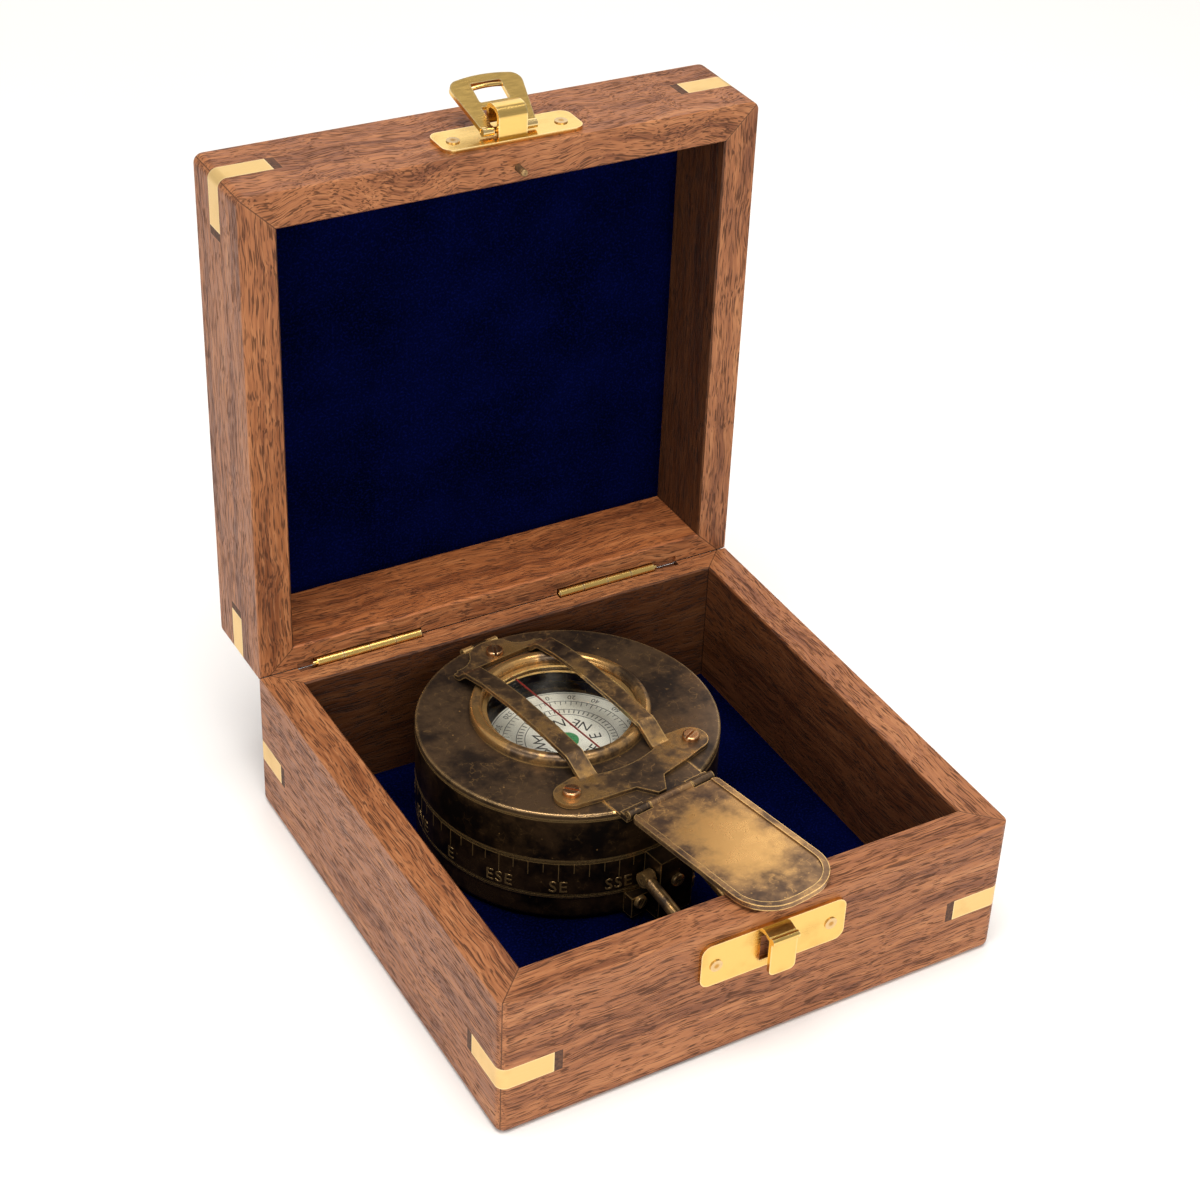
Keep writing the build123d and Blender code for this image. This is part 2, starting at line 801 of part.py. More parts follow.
def cover_disc():
    """The round cover with its window hole, screw holes, rear knuckles and recess for the flap's leaf."""
    cover = disc(case_radius, cover_low, cover_high)
    cover = fillet(cover.edges().sort_by(Axis.Z)[-1], cover_edge_round)
    clear = cover_centre_half_width + knuckle_gap
    for side in (-1, 1):
        cover += cover_rod(cover_knuckle_radius, *sorted((side * clear, side * cover_hinge_half_width)))
    cover -= cover_rod(cover_knuckle_radius + cover_knuckle_gap, -clear, clear)
    cover -= cover_bore()
    cover -= disc(window_hole_radius, cover_low - overcut, cover_high + overcut, 0, window_back)
    for x, y in screw_places():
        cover -= disc(screw_shank_radius, cover_low - overcut, cover_high + overcut, x, y)
    half = flap_leaf_half_width + flap_leaf_fit
    recess = guard_low - flap_leaf_thickness
    return cover - block((-half, half), (-case_radius - overcut, -flap_leaf_back + flap_leaf_fit),
                         (recess, cover_high + overcut))


def window_bezel():
    """The raised round-topped ring of the window, with a spigot in the cover's hole."""
    top = cover_high + bezel_height
    ring = tube(bezel_radius, bezel_inner_radius, cover_high, top, 0, window_back)
    ring = fillet(ring.edges().filter_by(GeomType.CIRCLE).group_by(Axis.Z)[-1], bezel_round)
    ring += tube(window_hole_radius - bezel_fit, bezel_inner_radius, cover_low, cover_high, 0, window_back)
    return ring + tube(window_hole_radius - bezel_fit, bezel_inner_radius - bezel_ledge,
                       cover_low, cover_low + bezel_ledge_thickness, 0, window_back)


def window_glass():
    """The thick glass that carries the hairline."""
    low = cover_low + bezel_ledge_thickness
    return disc(bezel_inner_radius - window_glass_fit, low, low + glass_thickness, 0, window_back)


def window_glass_ring():
    """The bright ring that holds the window's glass."""
    low = cover_low + bezel_ledge_thickness + glass_thickness
    outer = bezel_inner_radius - window_glass_fit
    return tube(outer, outer - window_ring_width, low, low + window_ring_height, 0, window_back)


def hairline():
    """The red sighting line under the window's glass."""
    high = cover_low + bezel_ledge_thickness
    reach = bezel_inner_radius - bezel_ledge - hairline_end_gap
    return block((-hairline_width / 2, hairline_width / 2), (window_back - reach, window_back + reach),
                 (high - hairline_thickness, high))


def screw_places():
    """The guard's three screws: two ears in front and one behind."""
    return [(-ear_x, -ear_y), (ear_x, -ear_y), (0.0, rear_screw_y)]


def guard_front_outline():
    """The front plate seen from above: two ears, a hollow edge by the window and a point in front."""
    back = -front_plate_near + front_plate_overlap
    right = [(front_body_half_width, back), (ear_x, -ear_y + ear_radius), (ear_x, -ear_y - ear_radius),
             (front_body_half_width, -front_notch_y), (front_tip_half_width, -front_tip_y),
             (front_point_half_width, -front_tip)]
    left = [(-x, y) for x, y in reversed(right)]
    body = make_face(Polyline(*right, *left, close=True))
    for side in (-1, 1):
        body += Pos(side * ear_x, -ear_y) * Circle(ear_radius)
    return body - Pos(0, window_back) * Circle(guard_inner_radius)


def guard_rear_outline():
    """The rear plate seen from above: square shoulders that sweep back to a narrow round end."""
    shoulder, neck = rear_shoulder_half_width, rear_neck_half_width
    near, far = rear_plate_near, rear_plate_far
    low_x, low_y = shoulder - rear_shoulder_taper, near + rear_shoulder_depth
    mid_x, mid_y = neck + rear_sweep_side, near + rear_sweep_back
    end_y = far - rear_end_rise
    return make_face(Curve() + [
        Line((-shoulder, near), (shoulder, near)),
        Line((shoulder, near), (low_x, low_y)),
        ThreePointArc((low_x, low_y), (mid_x, mid_y), (neck, end_y)),
        ThreePointArc((neck, end_y), (0, far), (-neck, end_y)),
        ThreePointArc((-neck, end_y), (-mid_x, mid_y), (-low_x, low_y)),
        Line((-low_x, low_y), (-shoulder, near)),
    ])


def guard_strap(x):
    """One arched strap from the rear plate over the window to the front plate."""
    mid = guard_low + guard_thickness / 2
    points = [(rear_plate_near + strap_rear_tail, mid), (rear_plate_near - strap_rear_foot, mid),
              (strap_rise_back, cover_high + strap_rise_height),
              (strap_back, cover_high + strap_back_height),
              (strap_crest_back, cover_high + strap_crest_height),
              (-strap_middle_front, cover_high + strap_middle_height),
              (-strap_front, cover_high + strap_front_height),
              (-front_plate_near + strap_front_foot, mid), (-front_plate_near - strap_front_tail, mid)]
    return strip(points, strap_bend, guard_thickness, strap_width, x)


def strap_guard():
    """The one-piece guard: two plates joined by two straps."""
    front = Pos(0, 0, guard_low) * extrude(guard_front_outline(), amount=guard_thickness)
    rear = Pos(0, 0, guard_low) * extrude(guard_rear_outline(), amount=guard_thickness)
    guard = front + rear
    for side in (-1, 1):
        guard += guard_strap(side * strap_offset)
    for x, y in screw_places():
        guard -= disc(screw_shank_radius, guard_low - overcut, guard_high + overcut, x, y)
    return guard.solid()


def slotted_screw(radius, height, length, turn):
    """An upright screw with a slotted cheese head that stands on z = 0."""
    head = disc(radius, 0, height)
    head = fillet(head.edges().sort_by(Axis.Z)[-1], screw_head_round)
    slot = Box(3 * radius, screw_slot_width, 2 * screw_slot_depth)
    head -= Pos(0, 0, height) * Rot(0, 0, turn) * slot
    return (head + disc(screw_shank_radius, -length, 0)).solid()


def guard_screws():
    """Three slotted screws through the guard and the cover."""
    pieces = []
    for (x, y), turn in zip(screw_places(), guard_screw_turns):
        screw = slotted_screw(guard_screw_head_radius, guard_screw_head_height, guard_high - cover_low, turn)
        pieces.append(Pos(x, y, guard_high) * screw)
    return Compound(children=pieces)


# Flap

def flap_bore():
    """The bore for the flap's pin."""
    half = flap_leaf_half_width + overcut
    return rod_x(flap_pin_radius + pin_fit, -half, half, -flap_axis_front, flap_axis_level)


def flap_hinge_leaf():
    """The leaf in the cover's recess, with a knuckle at each end of the flap's hinge."""
    half = flap_leaf_half_width
    low = guard_low - flap_leaf_thickness
    leaf = block((-half, half), (-flap_leaf_front, -flap_leaf_back), (low, guard_low))
    for side in (-1, 1):
        near = flap_centre_half_width + knuckle_gap
        left, right = sorted((side * near, side * half))
        leaf += block((left, right), (-flap_axis_front, -flap_leaf_front + flap_leaf_neck),
                      (low, flap_axis_level - flap_leaf_shoulder))
        leaf += rod_x(flap_knuckle_radius, left, right, -flap_axis_front, flap_axis_level)
    return leaf - flap_bore()


def flap_hinge_pin():
    """The pin of the flap's hinge."""
    half = flap_leaf_half_width
    return rod_x(flap_pin_radius, -half, half, -flap_axis_front, flap_axis_level)


def flap_outline(inset):
    """The flap seen flat from its hinge line towards -Y, its sides and end smaller by the inset."""
    half = flap_half_width - inset
    start = flap_knuckle_radius + flap_root_gap
    end = flap_length - inset
    shape = make_face(Curve() + [
        Line((-half, -start), (half, -start)), Line((half, -start), (half, -end + flap_crown)),
        ThreePointArc((half, -end + flap_crown), (0, -end), (-half, -end + flap_crown)),
        Line((-half, -end + flap_crown), (-half, -start)),
    ])
    return fillet(shape.vertices().sort_by(Axis.Y)[:2], flap_corner - inset)


def flap():
    """The long flap: a thin plate with a raised border, hung from the middle knuckle."""
    low = -flap_drop
    outline = flap_outline(0)
    outline = fillet(outline.vertices().sort_by(Axis.Y)[-2:], flap_root_round)
    plate = Pos(0, 0, low) * extrude(outline, amount=flap_thickness)
    rim = extrude(outline, amount=flap_border_height)
    rim -= extrude(flap_outline(flap_border_width), amount=flap_border_height)
    plate += Pos(0, 0, low + flap_thickness) * rim
    half = flap_centre_half_width
    plate += block((-half, half), (-flap_knuckle_radius - flap_root_tongue, 0), (low, low + flap_thickness))
    knuckle = rod_x(flap_knuckle_radius, -half, half, 0, 0)
    piece = Rot(-flap_slope, 0, 0) * plate + knuckle
    return (Pos(0, -flap_axis_front, flap_axis_level) * piece - flap_bore()).solid()


# Thumb ring

def front_screw(x, level, face, length, turn):
    """A slotted screw whose head faces the flap's side."""
    screw = slotted_screw(bracket_screw_head_radius, bracket_screw_head_height, length, turn)
    return Pos(x, -face, level) * Rot(90, 0, 0) * screw


def ring_bracket():
    """The block in front of the case that the thumb ring swings on, with a wide foot."""
    half, foot_half = bracket_half_width, bracket_foot_half_width
    body = block((-half, half), (-bracket_front, -bracket_foot_back), (bracket_foot_level, bracket_top))
    body -= disc(case_radius + bracket_gap, bottom_height - bracket_gap, bracket_top + overcut)
    body += block((-foot_half, foot_half), (-bracket_foot_front, -bracket_foot_back),
                  (bracket_foot_level, bottom_height - bracket_gap))
    body -= disc(case_radius - bottom_band_step + bracket_fit, 0, bottom_height + bracket_gap)
    body -= rod_x(ring_rod_radius, -foot_half, foot_half, -ring_axis_front, ring_axis_level)
    for x in (-foot_screw_x, foot_screw_x):
        body -= rod_y(screw_shank_radius, -bracket_foot_front - overcut, -bracket_foot_back,
                      x, foot_screw_level)
    body -= rod_y(screw_shank_radius, -bracket_front - overcut, -bracket_front + block_screw_length,
                  0, block_screw_level)
    return body.solid()


def ring_bracket_screws():
    """Two screws that hold the bracket's foot and one in the face of its block."""
    pieces = [front_screw(0, block_screw_level, bracket_front, block_screw_length, block_screw_turn)]
    for x, turn in zip((-foot_screw_x, foot_screw_x), foot_screw_turns):
        pieces.append(front_screw(x, foot_screw_level, bracket_foot_front, foot_screw_length, turn))
    return Compound(children=pieces)


def ring_pivot_rod():
    """The rod through the block that the ring's ends turn on."""
    half = ring_half_width + ring_wire_radius
    return rod_x(ring_rod_radius, -half, half, -ring_axis_front, ring_axis_level)


def thumb_ring():
    """A bent wire loop that stands out in front of its bracket."""
    half = ring_half_width
    path = FilletPolyline((-half, 0), (-half, -ring_reach), (half, -ring_reach), (half, 0), radius=ring_bend)
    start = Plane(origin=(-half, 0, 0), z_dir=(0, -1, 0))
    wire = sweep(start * Circle(ring_wire_radius), path=path)
    for side in (-1, 1):
        ends = sorted((side * half - ring_wire_radius, side * half + ring_wire_radius))
        wire += rod_x(ring_eye_radius, *ends, 0, 0)
    wire -= rod_x(ring_rod_radius + pin_fit, -2 * half, 2 * half, 0, 0)
    return (Pos(0, -ring_axis_front, ring_axis_level) * Rot(ring_slope, 0, 0) * wire).solid()


def compass_pieces():
    """Every piece of the compass in its own frame."""
    return {
        "compass_bowl": compass_bowl(), "compass_upper_case": compass_upper_case(),
        "numeral_ring": numeral_ring(), "card_glass": card_glass(), "card_glass_ring": card_glass_ring(),
        "pivot_post": pivot_post(), "card_hub": card_hub(), "compass_card": compass_card(),
        "card_magnet": card_magnet(), "cover_hinge_case_leaf": cover_hinge_case_leaf(),
        "cover_hinge_pin": cover_hinge_pin(), "cover_disc": cover_disc(),
        "window_bezel": window_bezel(), "window_glass": window_glass(),
        "window_glass_ring": window_glass_ring(), "hairline": hairline(),
        "strap_guard": strap_guard(), "guard_screws": guard_screws(),
        "flap_hinge_leaf": flap_hinge_leaf(), "flap_hinge_pin": flap_hinge_pin(), "flap": flap(),
        "ring_bracket": ring_bracket(), "ring_bracket_screws": ring_bracket_screws(),
        "ring_pivot_rod": ring_pivot_rod(), "thumb_ring": thumb_ring(),
    }


def all_pieces():
    """Every node of the open box by name."""
    nodes = base_pieces()
    closed = lid_pieces()
    for name, centre, side in (("left", hinge_left_x, -1), ("right", hinge_right_x, 1)):
        nodes[f"{name}_hinge_base_leaf"] = hinge_leaf(centre, False)
        nodes[f"{name}_hinge_pin"] = hinge_pin(centre, side)
        closed[f"{name}_hinge_lid_leaf"] = hinge_leaf(centre, True)
    nodes["base_latch_plate"] = base_latch_plate()
    nodes["base_latch_nails"] = latch_nails(base_plate_x, base_nail_pitch, base_nail_level)
    closed["lid_latch_plate"] = lid_latch_plate()
    closed["lid_latch_nails"] = latch_nails(lid_nail_x, lid_nail_pitch, lid_nail_level)
    closed["hasp_plate"] = hasp_plate()
    closed["hasp_pivot_bar"] = hasp_pivot_bar()
    closed["hasp_spring_bar"] = hasp_spring_bar()
    nodes.update({name: open_lid(shape) for name, shape in closed.items()})
    place = Pos(compass_x, compass_y, floor_level) * Rot(0, 0, compass_turn)
    nodes.update({name: place * shape for name, shape in compass_pieces().items()})
    return nodes


os.makedirs("parts", exist_ok=True)
for node_name, node_shape in all_pieces().items():
    export_step(node_shape, f"parts/{node_name}.step")

turn = radians(compass_turn)
for name, distance, level in (("cover hinge", -cover_axis_back, cover_axis_level),
                              ("flap hinge", flap_axis_front, flap_axis_level),
                              ("thumb ring", ring_axis_front, ring_axis_level)):
    place = (compass_x + sin(turn) * distance, compass_y - cos(turn) * distance, floor_level + level)
    print(name, "axis passes", [round(value, 4) for value in place])
hasp_place = open_lid(Pos(latch_x, pivot_y, pivot_level) * Box(1, 1, 1)).center()
print("hasp axis passes", [round(value, 4) for value in hasp_place])
print("case hinge axis passes", (0, round(hinge_axis_y, 4), round(hinge_axis_z, 4)))
print("compass-across axis", (round(cos(turn), 6), round(sin(turn), 6), 0))
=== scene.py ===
"""Finishes for the compass box: woods, brasses, velvet, dial marks, glass and the studio around it."""

import math

import bmesh
import bpy
from bpy.props import FloatProperty, FloatVectorProperty, IntProperty, PointerProperty
from mathutils import Matrix, Vector, noise


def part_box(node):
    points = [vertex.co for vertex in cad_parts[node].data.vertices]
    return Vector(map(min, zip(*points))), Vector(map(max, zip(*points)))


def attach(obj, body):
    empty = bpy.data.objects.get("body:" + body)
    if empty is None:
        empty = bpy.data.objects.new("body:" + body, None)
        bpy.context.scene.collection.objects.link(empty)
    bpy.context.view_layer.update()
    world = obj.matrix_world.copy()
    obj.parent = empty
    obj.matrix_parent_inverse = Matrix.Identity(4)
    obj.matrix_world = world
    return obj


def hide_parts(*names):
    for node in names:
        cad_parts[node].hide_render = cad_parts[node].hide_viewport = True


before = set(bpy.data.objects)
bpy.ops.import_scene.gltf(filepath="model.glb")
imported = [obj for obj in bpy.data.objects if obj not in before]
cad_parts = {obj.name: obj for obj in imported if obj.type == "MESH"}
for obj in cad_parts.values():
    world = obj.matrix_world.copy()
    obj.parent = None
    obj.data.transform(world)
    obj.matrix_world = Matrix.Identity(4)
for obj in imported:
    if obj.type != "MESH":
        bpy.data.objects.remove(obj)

bl_info = {
    "name": "Compass Box Finishes",
    "version": (1, 0, 0),
    "blender": (4, 5, 0),
    "location": "View3D > Sidebar > Compass Box",
    "description": "Grain, patina, velvet, dial marks and studio for a hinged compass box",
    "category": "Object",
}

MM = 0.001
COMPASS_TURN = math.radians(9.0)
RING_LOW, RING_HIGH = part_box("numeral_ring")
CARD_LOW, CARD_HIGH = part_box("compass_card")
# The box is wider than deep, so its mitres run this far off the diagonal through the middle
MITRE_OFFSET = 1.0 * MM
# Size of the built-in font over the height of its capitals
FONT_PER_CAPITAL = 1.35
# Settings that many nodes share: a range eased at both ends, and a blend of two colours
EASED = {"interpolation_type": "SMOOTHSTEP"}
TONES = {"data_type": "RGBA"}


def srgb(code):
    """Linear red, green and blue of an sRGB hex colour."""
    parts = [int(code[i : i + 2], 16) / 255 for i in (0, 2, 4)]
    return tuple(p / 12.92 if p <= 0.04045 else ((p + 0.055) / 1.055) ** 2.4 for p in parts)


def colour(name, description, code):
    """A colour setting, given as sRGB hex and kept linear."""
    return FloatVectorProperty(
        name=name, description=description, default=srgb(code), size=3, min=0, max=1, subtype="COLOR"
    )


def length(name, description, millimetres):
    """A length setting, given in millimetres and kept in metres."""
    default = millimetres * MM
    return FloatProperty(
        name=name, description=description, default=default, min=0, unit="LENGTH", subtype="DISTANCE"
    )


def power(name, description, watts):
    """The power of one softbox."""
    return FloatProperty(name=name, description=description, default=watts, min=0, unit="POWER")


class RosewoodSettings(bpy.types.PropertyGroup):
    pore: colour("Pore", "Open pores and the darkest growth lines", "43230f")
    heart: colour("Heart", "Darker heartwood between the lines", "754428")
    body: colour("Body", "Main colour of the oiled board", "9a613b")
    pale: colour("Pale", "Palest streaks, seen on the rims", "b97f53")
    band_width: length("Band Width", "Width of one growth band", 3.4)
    pore_width: length("Pore Width", "Width of an open pore, drawn as wide as it needs to show", 0.27)
    pore_length: length("Pore Length", "Length of an open pore", 4.8)


class BrassSettings(bpy.types.PropertyGroup):
    bright: colour("Bright Brass", "Polished latch, hasp and hinges", "ecc472")
    inlay: colour("Inlay Brass", "Satin corner keys filed flush with the wood", "e3bf7c")
    tarnish: colour("Tarnish", "Brown film in the corners of the polished brass", "9a6f2c")
    patina: colour("Patina", "Darkest brown of the aged compass brass", "2e241d")
    brown: colour("Brown", "Middle tone of the aged brass", "66503a")
    drum_patina: colour("Drum Patina", "Darkest brown of the drum and ring", "17100b")
    drum_brown: colour("Drum Brown", "Middle tone of the drum and ring", "523c26")
    flap_patina: colour("Flap Patina", "Darkest brown of the flap", "4b382c")
    flap_brown: colour("Flap Brown", "Middle tone of the flap", "8d6b48")
    rubbed: colour("Rubbed", "Golden brass where handling has worn the patina", "dcaa66")
    # Also the colour of the painted highlight blended onto the compass arrises
    bare_and_highlight: colour("Bare", "Palest brass, bared along the arrises", "fbcd84")
    copper: colour("Screw", "Coppery brass of the screw heads", "d09a6a")
    wear_width: length("Wear Width", "How far the bright edge runs in from an arris", 0.65)


class VelvetSettings(bpy.types.PropertyGroup):
    pile: colour("Pile", "Looking down into the pile", "010316")
    nap: colour("Nap", "Sheen along the tips of the pile", "101b6c")
    ripple: length("Ripple", "How far the glued cloth rises and falls", 0.10)
    cell: length("Cell", "Spacing of the piece's mesh", 2.0)


class DialSettings(bpy.types.PropertyGroup):
    letter_height: length("Letter Height", "Height of the points of the compass on the ring", 3.0)
    raise_by: length("Raised By", "How far the ring's letters and lines stand proud", 0.09)
    points: IntProperty(name="Points", description="Points of the compass round the ring", default=16, min=4)
    fine_lines: IntProperty(name="Fine Lines", description="Lines between two points", default=4, min=1)
    paper: colour("Paper", "White enamelled paper of the card", "fbf6ea")
    ink: colour("Ink", "Printed scale", "1b1a1c")
    hub: colour("Hub", "Green boss over the pivot", "3f9a5c")
    line: colour("Line", "Red sighting line under the window", "7e2a20")


class StudioSettings(bpy.types.PropertyGroup):
    floor: colour("Floor", "Pale sweep under the box", "f4f3f1")
    top: power("Top", "Softbox overhead", 15.0)
    front: power("Front", "Softbox low in front", 9.5)
    left: power("Left", "Softbox low on the left", 4.8)
    back: power("Back", "Softbox high behind the lid", 3.2)
    ambient: FloatProperty(name="Ambient", description="Even light of the room", default=0.4, min=0)


def node(tree, kind, ins=None, **settings):
    """Adds one node; ins holds values or feeding sockets, in order or under each input's name or place."""
    made = tree.nodes.new("ShaderNode" + kind)
    for key, value in settings.items():
        setattr(made, key, value)
    pairs = ins.items() if isinstance(ins, dict) else enumerate(ins or ())
    for key, value in pairs:
        socket = made.inputs[key]
        if isinstance(value, bpy.types.NodeSocket):
            tree.links.new(value, socket)
        elif socket.type == "RGBA":
            socket.default_value = (*value[:3], 1.0)
        else:
            socket.default_value = value
    return made


def new_material(name):
    """An empty material and its node tree."""
    made = bpy.data.materials.new(name)
    made.use_nodes = True
    made.node_tree.nodes.clear()
    return made, made.node_tree


def dress(material, *names):
    """Gives CAD nodes one material in place of their own."""
    for name in names:
        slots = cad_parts[name].data.materials
        slots.clear()
        slots.append(material)


def oiled_rosewood(name, along, shift, wave, inner_shade, across, middle, glued=0.8):
    """Indian rosewood planed, sanded and oiled: streaky brown with open pores that stay dark."""
    wood = bpy.context.scene.compass_rosewood
    made, tree = new_material(name)
    place = node(tree, "TexCoord").outputs["Object"]
    turns = {"x": (0, 0, 0), "y": (0, 0, math.pi / 2), "z": (0, math.pi / 2, 0)}
    board = node(tree, "Mapping", {0: place, "Location": shift, "Rotation": turns[along]}).outputs[0]
    # The grain wanders a millimetre or two every few centimetres, as interlocked grain does
    drift = node(tree, "TexNoise", {"Vector": board, "Scale": 45.0, "Detail": 2.5}).outputs["Color"]
    centred = node(tree, "VectorMath", {0: drift, 1: (0.5, 0.5, 0.5)}, operation="SUBTRACT").outputs[0]
    swing = (0.002, 0.005 * wave, 0.005 * wave)
    moved = node(tree, "VectorMath", {0: centred, 1: swing}, operation="MULTIPLY").outputs[0]
    grain = node(tree, "VectorMath", {0: board, 1: moved}, operation="ADD").outputs[0]
    band = 1.0 / wood.band_width
    long_way = node(tree, "Mapping", {0: grain, "Scale": (band * 0.07, band, band)}).outputs[0]
    bands = node(
        tree, "TexNoise", {"Vector": long_way, "Scale": 1.0, "Detail": 4.0, "Roughness": 0.62}
    ).outputs[0]
    # Fibre streaks half a millimetre wide
    fine_way = node(tree, "Mapping", {0: grain, "Scale": (120.0, 1900.0, 1900.0)}).outputs[0]
    fibres = node(tree, "TexNoise", {"Vector": fine_way, "Scale": 1.0, "Detail": 2.0}).outputs[0]
    pore_scale = (1.0 / wood.pore_length, 1.0 / wood.pore_width, 1.0 / wood.pore_width)
    pore_way = node(tree, "Mapping", {0: grain, "Scale": pore_scale}).outputs[0]
    pores = node(tree, "TexNoise", {"Vector": pore_way, "Scale": 1.0, "Detail": 1.0}).outputs[0]
    crowd = node(tree, "MapRange", (bands, 0.35, 0.65, 0.06, 0.0), **EASED).outputs[0]
    crowded = node(tree, "Math", (pores, crowd), operation="ADD").outputs[0]
    pore_mask = node(tree, "MapRange", (crowded, 0.54, 0.66), **EASED).outputs[0]
    heart_to_body = node(tree, "MapRange", (bands, 0.34, 0.54), **EASED).outputs[0]
    tone = node(tree, "Mix", {0: heart_to_body, 6: wood.heart, 7: wood.body}, **TONES).outputs[2]
    pale_bands = node(tree, "MapRange", (bands, 0.54, 0.74, 0.0, 0.7), **EASED).outputs[0]
    tone = node(tree, "Mix", {0: pale_bands, 6: tone, 7: wood.pale}, **TONES).outputs[2]
    dark_fibres = node(tree, "MapRange", (fibres, 0.3, 0.52, 0.55, 0.0), **EASED).outputs[0]
    tone = node(tree, "Mix", {0: dark_fibres, 6: tone, 7: wood.heart}, **TONES).outputs[2]
    pale_fibres = node(tree, "MapRange", (fibres, 0.52, 0.72, 0.0, 0.45), **EASED).outputs[0]
    tone = node(tree, "Mix", {0: pale_fibres, 6: tone, 7: wood.pale}, **TONES).outputs[2]
    pore_share = node(tree, "Math", (pore_mask, 0.8), operation="MULTIPLY").outputs[0]
    tone = node(tree, "Mix", {0: pore_share, 6: tone, 7: wood.pore}, **TONES).outputs[2]
    # Handling and sanding leave the arrises a little paler
    worn = edge_of(tree, 0.0009)
    worn_share = node(tree, "Math", (worn, 0.18), operation="MULTIPLY").outputs[0]
    tone = node(tree, "Mix", {0: worn_share, 6: tone, 7: wood.pale}, **TONES).outputs[2]
    # Glue line of the mitre, where two boards meet across the corner
    offset = node(tree, "VectorMath", {0: place, 1: middle}, operation="SUBTRACT").outputs[0]
    reach = node(tree, "VectorMath", {0: offset}, operation="ABSOLUTE").outputs[0]
    along_mitre = (1, -across[1], -across[2])
    mitre = node(tree, "VectorMath", {0: reach, 1: along_mitre}, operation="DOT_PRODUCT").outputs["Value"]
    from_mitre = node(tree, "Math", (mitre, MITRE_OFFSET), operation="SUBTRACT").outputs[0]
    off_line = node(tree, "Math", (from_mitre,), operation="ABSOLUTE").outputs[0]
    glue = node(tree, "MapRange", (off_line, 0.06 * MM, 0.26 * MM, glued, 0.0), **EASED).outputs[0]
    tone = node(tree, "Mix", {0: glue, 6: tone, 7: wood.pore}, **TONES).outputs[2]
    # Painted shade and light: the faces inside the box are multiplied by a per-board factor, below 1 to
    # darken them and above 1 to brighten the lid's lit back wall
    facing = node(tree, "NewGeometry").outputs["Normal"]
    level = node(tree, "VectorMath", {0: facing, 1: across}, operation="MULTIPLY").outputs[0]
    outward = node(tree, "VectorMath", {0: level, 1: offset}, operation="DOT_PRODUCT").outputs["Value"]
    inside = node(tree, "MapRange", (outward, -0.04, -0.015, 1.0, 0.0), **EASED).outputs[0]
    shaded_inside = node(
        tree,
        "Mix",
        {0: 1.0, 6: tone, 7: (inner_shade, inner_shade * 0.86, inner_shade * 0.72)},
        **TONES,
        blend_type="MULTIPLY",
    ).outputs[2]
    tone = node(tree, "Mix", {0: inside, 6: tone, 7: shaded_inside}, **TONES).outputs[2]
    gloss = node(tree, "MapRange", (fibres, 0.3, 0.7, 0.36, 0.52), **EASED).outputs[0]
    pore_rough = node(tree, "Math", (pore_mask, 0.25), operation="MULTIPLY").outputs[0]
    rough = node(tree, "Math", (gloss, pore_rough), operation="ADD").outputs[0]
    fibre_height = node(tree, "Math", (fibres, 0.25), operation="MULTIPLY").outputs[0]
    dip = node(tree, "Math", (fibre_height, pore_mask), operation="SUBTRACT").outputs[0]
    relief = node(tree, "Bump", {"Height": dip, "Strength": 0.45, "Distance": 0.00015})
    shader = node(
        tree,
        "BsdfPrincipled",
        {
            "Base Color": tone,
            "Roughness": rough,
            "Normal": relief.outputs[0],
            "IOR": 1.45,
            "Specular IOR Level": 0.35,
        },
    )
    node(tree, "OutputMaterial", {"Surface": shader.outputs[0]})
    return made


def edge_of(tree, width):
    """1 on an arris and 0 on a flat, from how soon rays cast into the metal or wood come out again."""
    inner = node(tree, "AmbientOcclusion", {"Distance": width}, inside=True, only_local=True, samples=6)
    return node(tree, "MapRange", (inner.outputs["AO"], 0.55, 0.93, 1.0, 0.0), **EASED).outputs[0]


def polished_brass(name, base, rough, tarnish_share, metal=1.0):
    """Stamped yellow brass, buffed and handled: bright, with hairline scratches and faint brown film."""
    brass = bpy.context.scene.compass_brass
    made, tree = new_material(name)
    place = node(tree, "TexCoord").outputs["Object"]
    cloud = node(
        tree, "TexNoise", {"Vector": place, "Scale": 170.0, "Detail": 3.0, "Roughness": 0.5}
    ).outputs[0]
    # Buffing lines a quarter of a millimetre apart, along the plate
    lines_at = node(tree, "Mapping", {0: place, "Scale": (500.0, 4200.0, 4200.0)}).outputs[0]
    lines = node(tree, "TexNoise", {"Vector": lines_at, "Scale": 1.0, "Detail": 2.0}).outputs[0]
    tarnished = node(tree, "MapRange", (cloud, 0.45, 0.75), **EASED).outputs[0]
    film = node(tree, "Math", (tarnished, tarnish_share), operation="MULTIPLY").outputs[0]
    tone = node(tree, "Mix", {0: film, 6: base, 7: brass.tarnish}, **TONES).outputs[2]
    # Painted highlight: the arrises are blended towards a near-white pale gold
    painted_rim_highlight = node(tree, "Math", (edge_of(tree, 0.0004), 0.4), operation="MULTIPLY").outputs[0]
    tone = node(tree, "Mix", {0: painted_rim_highlight, 6: tone, 7: srgb("fff0c4")}, **TONES).outputs[2]
    gloss = node(tree, "MapRange", (lines, 0.3, 0.7, rough * 0.85, rough * 1.15), **EASED).outputs[0]
    film_rough = node(tree, "Math", (film, 0.15), operation="MULTIPLY").outputs[0]
    gloss = node(tree, "Math", (gloss, film_rough), operation="ADD").outputs[0]
    relief = node(tree, "Bump", {"Height": lines, "Strength": 0.04, "Distance": 0.00002})
    shader = node(
        tree,
        "BsdfPrincipled",
        {"Base Color": tone, "Metallic": metal, "Roughness": gloss, "Normal": relief.outputs[0]},
    )
    node(tree, "OutputMaterial", {"Surface": shader.outputs[0]})
    return made


